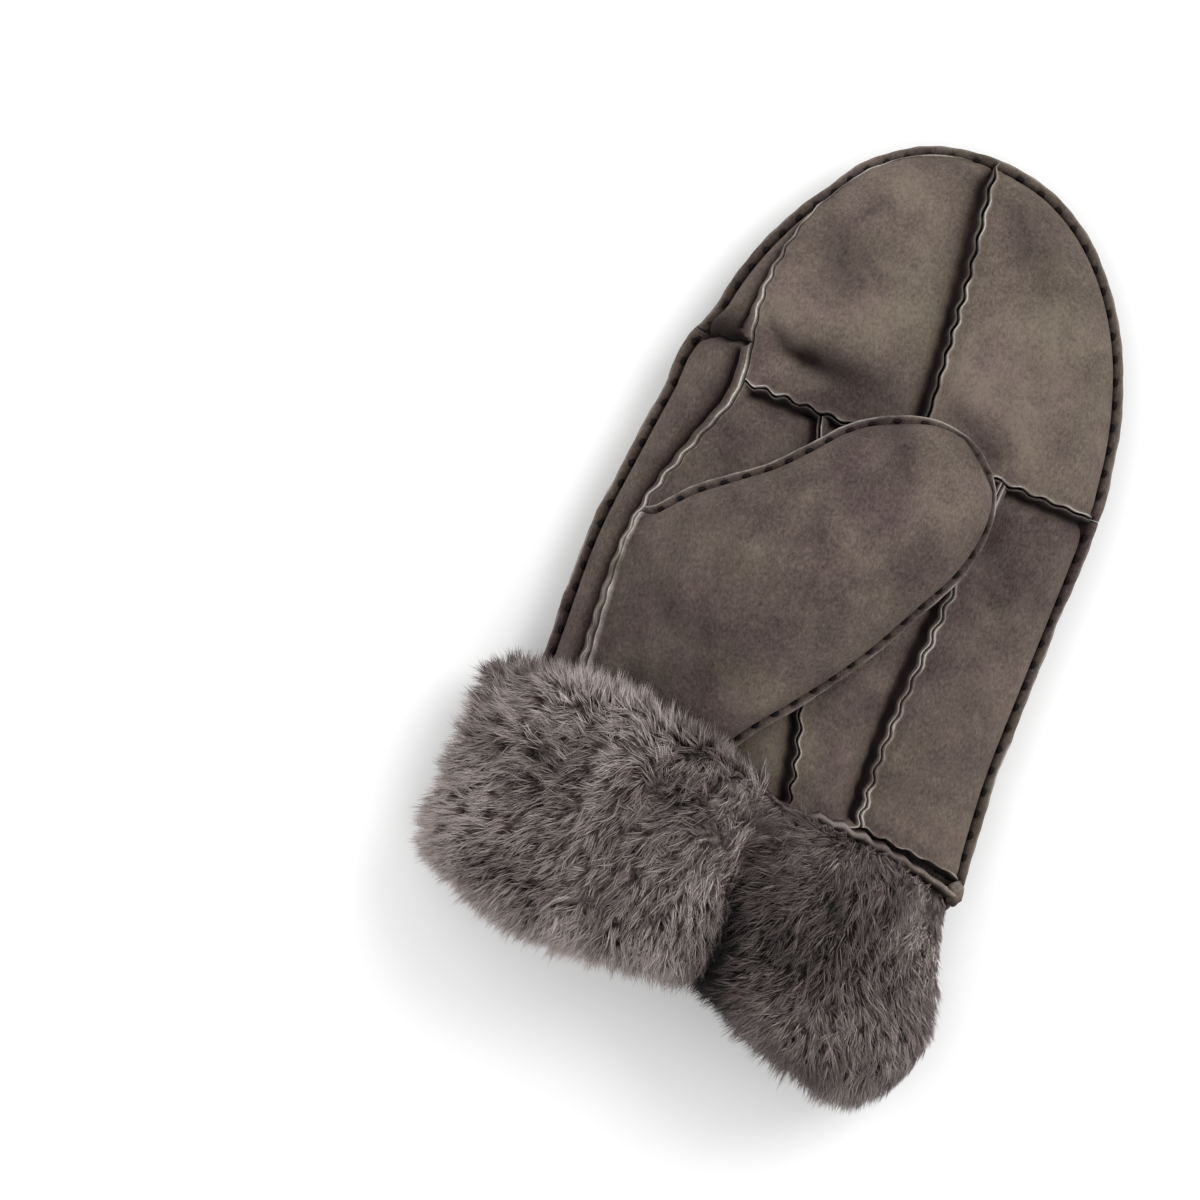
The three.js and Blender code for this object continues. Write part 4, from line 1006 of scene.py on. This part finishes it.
# One field of wool, as a single mesh.
def woolField(name, fromAround, toAround, fromS, toS, tufts, locks, strands, seed):
    random = np.random.default_rng(seed)
    n = tufts * locks * strands
    tuftOfLock = np.repeat(np.arange(tufts), locks)
    lock = np.repeat(np.arange(tufts * locks), strands)

    # tufts on a jittered grid of the field; locks and strands scattered round them
    columns = max(1, int(round(math.sqrt(tufts * 1.9 * (toAround - fromAround) / .3))))
    rows = math.ceil(tufts / columns)
    number = np.arange(tufts)
    place = np.stack((number % columns, number // columns), -1) + random.uniform(.05, .95, (tufts, 2))
    place[:, 0] += .5 * (number // columns % 2)
    place = np.mod(place / (columns, rows), 1)
    ring = np.linspace(fromAround, toAround, 200)
    steps = np.linalg.norm(np.diff(cuffPoint(ring, .35 + 0 * ring, 0 * ring), axis=0), axis=-1)
    gone = np.append(0, np.cumsum(steps)) / steps.sum()
    place[:, 0] = np.interp(place[:, 0], gone, np.linspace(0, 1, 200))
    spreadAround, spreadS = .6 / columns * (toAround - fromAround), .6 / rows * (toS - fromS)
    centre = place * (toAround - fromAround, toS - fromS) + (fromAround, fromS)
    lockAt = centre[tuftOfLock] + random.normal(0, 1, (tufts * locks, 2)) * (spreadAround, spreadS)
    lockAt[:, 1] = np.clip(lockAt[:, 1], fromS * .4, .97)
    strandAt = lockAt[lock] + random.normal(0, 1, (n, 2)) * (spreadAround * .35, spreadS * .35)
    strandAt[:, 1] = np.clip(strandAt[:, 1], .01, .985)

    def guide(at):
        sink = sinkAt(at[:, 1], wool["sink"], .2)
        root = cuffPoint(at[:, 0], at[:, 1], sink)
        return root, cuffNormal(at[:, 0], at[:, 1], sink)
    lockRoot, lockUp = guide(lockAt)
    root, up = guide(strandAt)
    flow = woolFlow(lockAt[:, 0], lockAt[:, 1], lockRoot)
    tuftTwist, lockTwist = wool["twist"]
    twist = random.normal(0, tuftTwist, tufts)[tuftOfLock] + random.normal(0, lockTwist, tufts * locks)
    aside = unit(np.cross(lockUp, flow))
    flow = unit(flow * np.cos(twist)[:, None] + aside * np.sin(twist)[:, None])
    inside = smoothStep(lockAt[:, 1], .68, .8)
    length = wool["length"] * (1 - .45 * inside) * random.uniform(.8, 1.2, tufts)[tuftOfLock]
    length = length * random.uniform(.72, 1.15, tufts * locks)
    edgeX = smoothStep(lockRoot[:, 0], 46, 62) * (1 - smoothStep(lockAt[:, 1], .3, .45))
    wispy = edgeX * smoothStep(-lockRoot[:, 1], 18, 34)
    length = length * (1 - .45 * edgeX * (1 - wispy))
    leanRoot = np.radians(wool["rootLean"] + random.normal(0, 7, tufts * locks))
    leanTip = np.radians(wool["tipLean"] + 10 * edgeX + random.normal(0, 10, tufts * locks))
    first = unit(lockUp * np.cos(leanRoot)[:, None] + flow * np.sin(leanRoot)[:, None])
    second = unit(lockUp * np.cos(leanTip)[:, None] + flow * np.sin(leanTip)[:, None])
    toMid, toTip = (length * share for share in wool["bend"])
    lockMid = lockRoot + first * toMid[:, None]
    lockTip = lockMid + second * toTip[:, None]
    grow = random.uniform(.7, 1.08, n)[:, None]
    midOwn = root + first[lock] * toMid[lock][:, None] * grow
    tipOwn = midOwn + second[lock] * toTip[lock][:, None] * grow
    gatherMid, gatherTip = wool["gather"]
    scatterMid, scatterTip = wool["scatter"]
    mid = mix(midOwn, lockMid[lock], gatherMid) + random.normal(0, scatterMid, (n, 3))
    tip = mix(tipOwn, lockTip[lock], gatherTip * random.uniform(.4, 1, n)[:, None])
    tip = tip + random.normal(0, scatterTip, (n, 3))
    for spot in (root, mid, tip):
        past = spot[:, 0] - np.interp(spot[:, 1], *outerLine)
        spot[:, 0] -= np.maximum(past, 0) * mix(.72, .35, wispy[lock])
        spot[:, 2] = np.maximum(spot[:, 2], wool["clearance"] + .8 * np.abs(random.normal(0, .5, n)))

    # each strand is a slim three-sided spindle: its root in the pelt, a ring halfway and a tip
    angle = np.arange(3) * 2 * np.pi / 3
    side = unit(np.cross(unit(tip - root), up + .3 * flow[lock]))
    over = np.cross(unit(tip - root), side)
    circle = side[:, None] * np.cos(angle)[None, :, None] + over[:, None] * np.sin(angle)[None, :, None]
    thick = wool["radius"] * random.uniform(*wool["thickness"], n)
    points = np.concatenate((root[:, None], mid[:, None] + circle * thick[:, None, None], tip[:, None]), 1)
    index = np.arange(n * 5).reshape(n, 5)
    a = index[:, 1:4]
    nextA = np.roll(a, -1, 1)
    lower = np.stack((np.repeat(index[:, :1], 3, 1), nextA, a), -1).reshape(-1, 3)
    spikes = np.stack((a, nextA, np.repeat(index[:, 4:], 3, 1)), -1).reshape(-1, 3)
    # painted shade in the crease and beside it, and darker on the outer lobe and along the top edge
    x, y, isPalm = root[:, 0], root[:, 1], np.mod(strandAt[:, 0], 1) < .5
    away, lobe = fromCrease(x, y)
    crease = np.exp(-(away / (3.6 + 3 * smoothStep(-y, 25, 55))) ** 2)
    crease = crease * smoothStep(-y, 5, 26) * isPalm
    lobe = lobe * (1 - .6 * smoothStep(x, 34, 56))
    topEdge = 1 - smoothStep(strandAt[:, 1], .05, .17)
    beside = np.exp(-(np.minimum(away, 0) / 9) ** 2) * smoothStep(-y, 0, 12)
    beside = beside * (x < cuff["creaseX"]) * isPalm
    shade = (1 - .8 * crease) * (1 - .55 * lobe) * (1 - .3 * topEdge) * (1 - .38 * beside)
    rise = np.tile([0, .5, .5, .5, 1], (n, 1)) * shade[:, None] - .42 * crease[:, None]
    uv = np.stack((np.repeat(random.uniform(0, 1, n), 5), rise.ravel()), -1)
    piece = makeObject(name, points.reshape(-1, 3), [lower, spikes], [woolMaterial], uvs=uv)
    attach(piece, "root")


# Dense underwool, seen between the strands: fine curls, with painted shade in the crease hollow and darker
# on the outer lobe.
def makePeltLook():
    g = Graph("underwool")
    place = g.place()
    curl = g.noise(place, 520, 5, .68, 1.2)
    patch = g.noise(place, 38, 3, .55, .5)
    tone = .5 + (curl - .5) * 2.4 + (patch - .5) * 1.4 - g.value("lobe") * .22
    colour = g.ramp(tone.clamp(), [(.0, (.01, .007, .007)), (.2, (.04, .031, .03)), (.5, (.125, .1, .095)),
                                   (.9, (.25, .205, .195))])
    return g.shade({"Base Color": colour, "Roughness": .8, "Specular IOR Level": .1,
                    "Normal": g.bump(curl, .9, .0012)})


pelt = {"columns": 288, "rows": 110, "sink": .72, "least": .4, "rough": .5, "floorGap": .15}


# The pelt under the wool: the pile's surface drawn in, closed inside the mouth along the wrist seam.
def makePelt():
    columns, rows = pelt["columns"], pelt["rows"]
    around = np.arange(columns) / columns
    s = np.linspace(0, 1, rows)
    sink = sinkAt(s, pelt["sink"] * wool["sink"], pelt["least"])
    place = (around[:, None], s[None, :], np.broadcast_to(sink, (columns, rows)))
    grid = cuffPoint(*place)
    rough = .7 * lumps(grid, 6, 81) + .35 * lumps(grid, 2.6, 82)
    grid = grid + cuffNormal(*place) * rough[..., None] * pelt["rough"]
    past = grid[..., 0] + .9 - np.interp(grid[..., 1], *outerLine)
    grid[..., 0] -= .95 * np.maximum(past, 0) * smoothStep(grid[..., 1], -26, -12)
    grid[..., 2] = np.maximum(grid[..., 2], pelt["floorGap"])
    index = np.arange(columns * rows).reshape(columns, rows)
    nxt = np.roll(index, -1, 0)
    quads = np.stack((index[:, :-1], index[:, 1:], nxt[:, 1:], nxt[:, :-1]), -1).reshape(-1, 4)
    close = np.stack((index[:, -1], index[:, 0], nxt[:, 0], nxt[:, -1]), -1)
    x, y, isPalm = grid[..., 0], grid[..., 1], (around < .5)[:, None]
    away, lobe = fromCrease(x, y)
    shadedHollow = np.exp(-(away / 6) ** 2) * smoothStep(-y, 5, 26)
    # the lobe value darkens the outer lobe and carries painted shade in the crease hollow
    lobe = lobe * isPalm + 1.8 * shadedHollow * isPalm
    piece = makeObject("cuff_pelt", grid.reshape(-1, 3), [quads, close], [makePeltLook()],
                       values={"lobe": lobe.ravel()})
    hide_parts("fur_cuff")
    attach(piece, "root")


woolLook = {"shadedHollow": (.007, .005, .005), "root": (.062, .047, .046), "middle": (.2, .16, .152),
            "tip": (.66, .575, .545), "roughness": .65}


# Wool strands: each darkening to painted shade at its root and lighter towards its tip, with its own tone
# and broad patches.
def makeWool():
    look = woolLook
    g = Graph("wool")
    uvMap = g.node("ShaderNodeUVMap", {"uv_map": "UVMap"}, {})
    own, along = (g.node("ShaderNodeSeparateXYZ", {}, {0: uvMap}, axis) for axis in (0, 1))
    patch = g.noise(g.place(), 38, 3, .55, .5)
    colour = g.ramp((along * .85 + (own - .5) * .6 + (patch - .5) * 1.1 + .06).clamp(),
                    [(0, look["shadedHollow"]), (.08, look["root"]), (.5, look["middle"]), (1, look["tip"])])
    return g.shade({"Base Color": colour, "Roughness": look["roughness"], "Specular IOR Level": .35})


woolMaterial = makeWool()
makePelt()
for number, (name, field) in enumerate(wool["fields"].items()):
    woolField(name, *field, seed=number + 101)
print("wool grown")


# Floor, light and camera. The photo looks straight down, with the hand leaning 21 degrees to the right.
view = {"lean": 21.0, "middle": (-53.8, 38.6, 25.0), "width": 320.0, "distance": 1300.0}
stage = {"half": 3000.0, "grey": (.93, .93, .93, 1), "roughness": .8, "sky": .95,
         "lamps": (("key", 27, 1.3, (1.0, 1.4, 1.7)), ("fill", 6, 1.6, (-1.3, .4, 1.6)))}


def makeStage():
    corners = np.array([(-1, -1, 0), (1, -1, 0), (1, 1, 0), (-1, 1, 0)]) * stage["half"] - wristSpot
    material = Graph("floor").shade({"Base Color": stage["grey"], "Roughness": stage["roughness"]})
    floor = makeObject("floor", corners, [np.array([[0, 1, 2, 3]])], [material])
    world = bpy.data.worlds.new("studio")
    world.use_nodes = True
    background = world.node_tree.nodes["Background"]
    background.inputs[0].default_value = (1, 1, 1, 1)
    background.inputs[1].default_value = stage["sky"]
    bpy.context.scene.world = world
    for name, energy, size, spot in stage["lamps"]:
        data = bpy.data.lights.new(name, "AREA")
        data.energy, data.size = energy, size
        lamp = bpy.data.objects.new(name, data)
        lamp.location = spot
        lamp.rotation_euler = Vector(-np.array(spot)).to_track_quat("-Z", "Y").to_euler()
        bpy.context.scene.collection.objects.link(lamp)
    bpy.context.scene.view_settings.view_transform = "Standard"


def makeCamera():
    data = bpy.data.cameras.new("camera")
    middle = (np.array(view["middle"]) + wristSpot) * toMetres
    distance = view["distance"] * toMetres
    data.lens = data.sensor_width * view["distance"] / view["width"]
    camera = bpy.data.objects.new("camera", data)
    camera.location = (middle[0], middle[1], middle[2] + distance)
    camera.rotation_euler = (0, 0, math.radians(view["lean"]))
    bpy.context.scene.collection.objects.link(camera)
    bpy.context.scene.camera = camera


makeStage()
makeCamera()
print("triangles:", sum(triangles.values()), "in all, the most in one piece", max(triangles.values()))
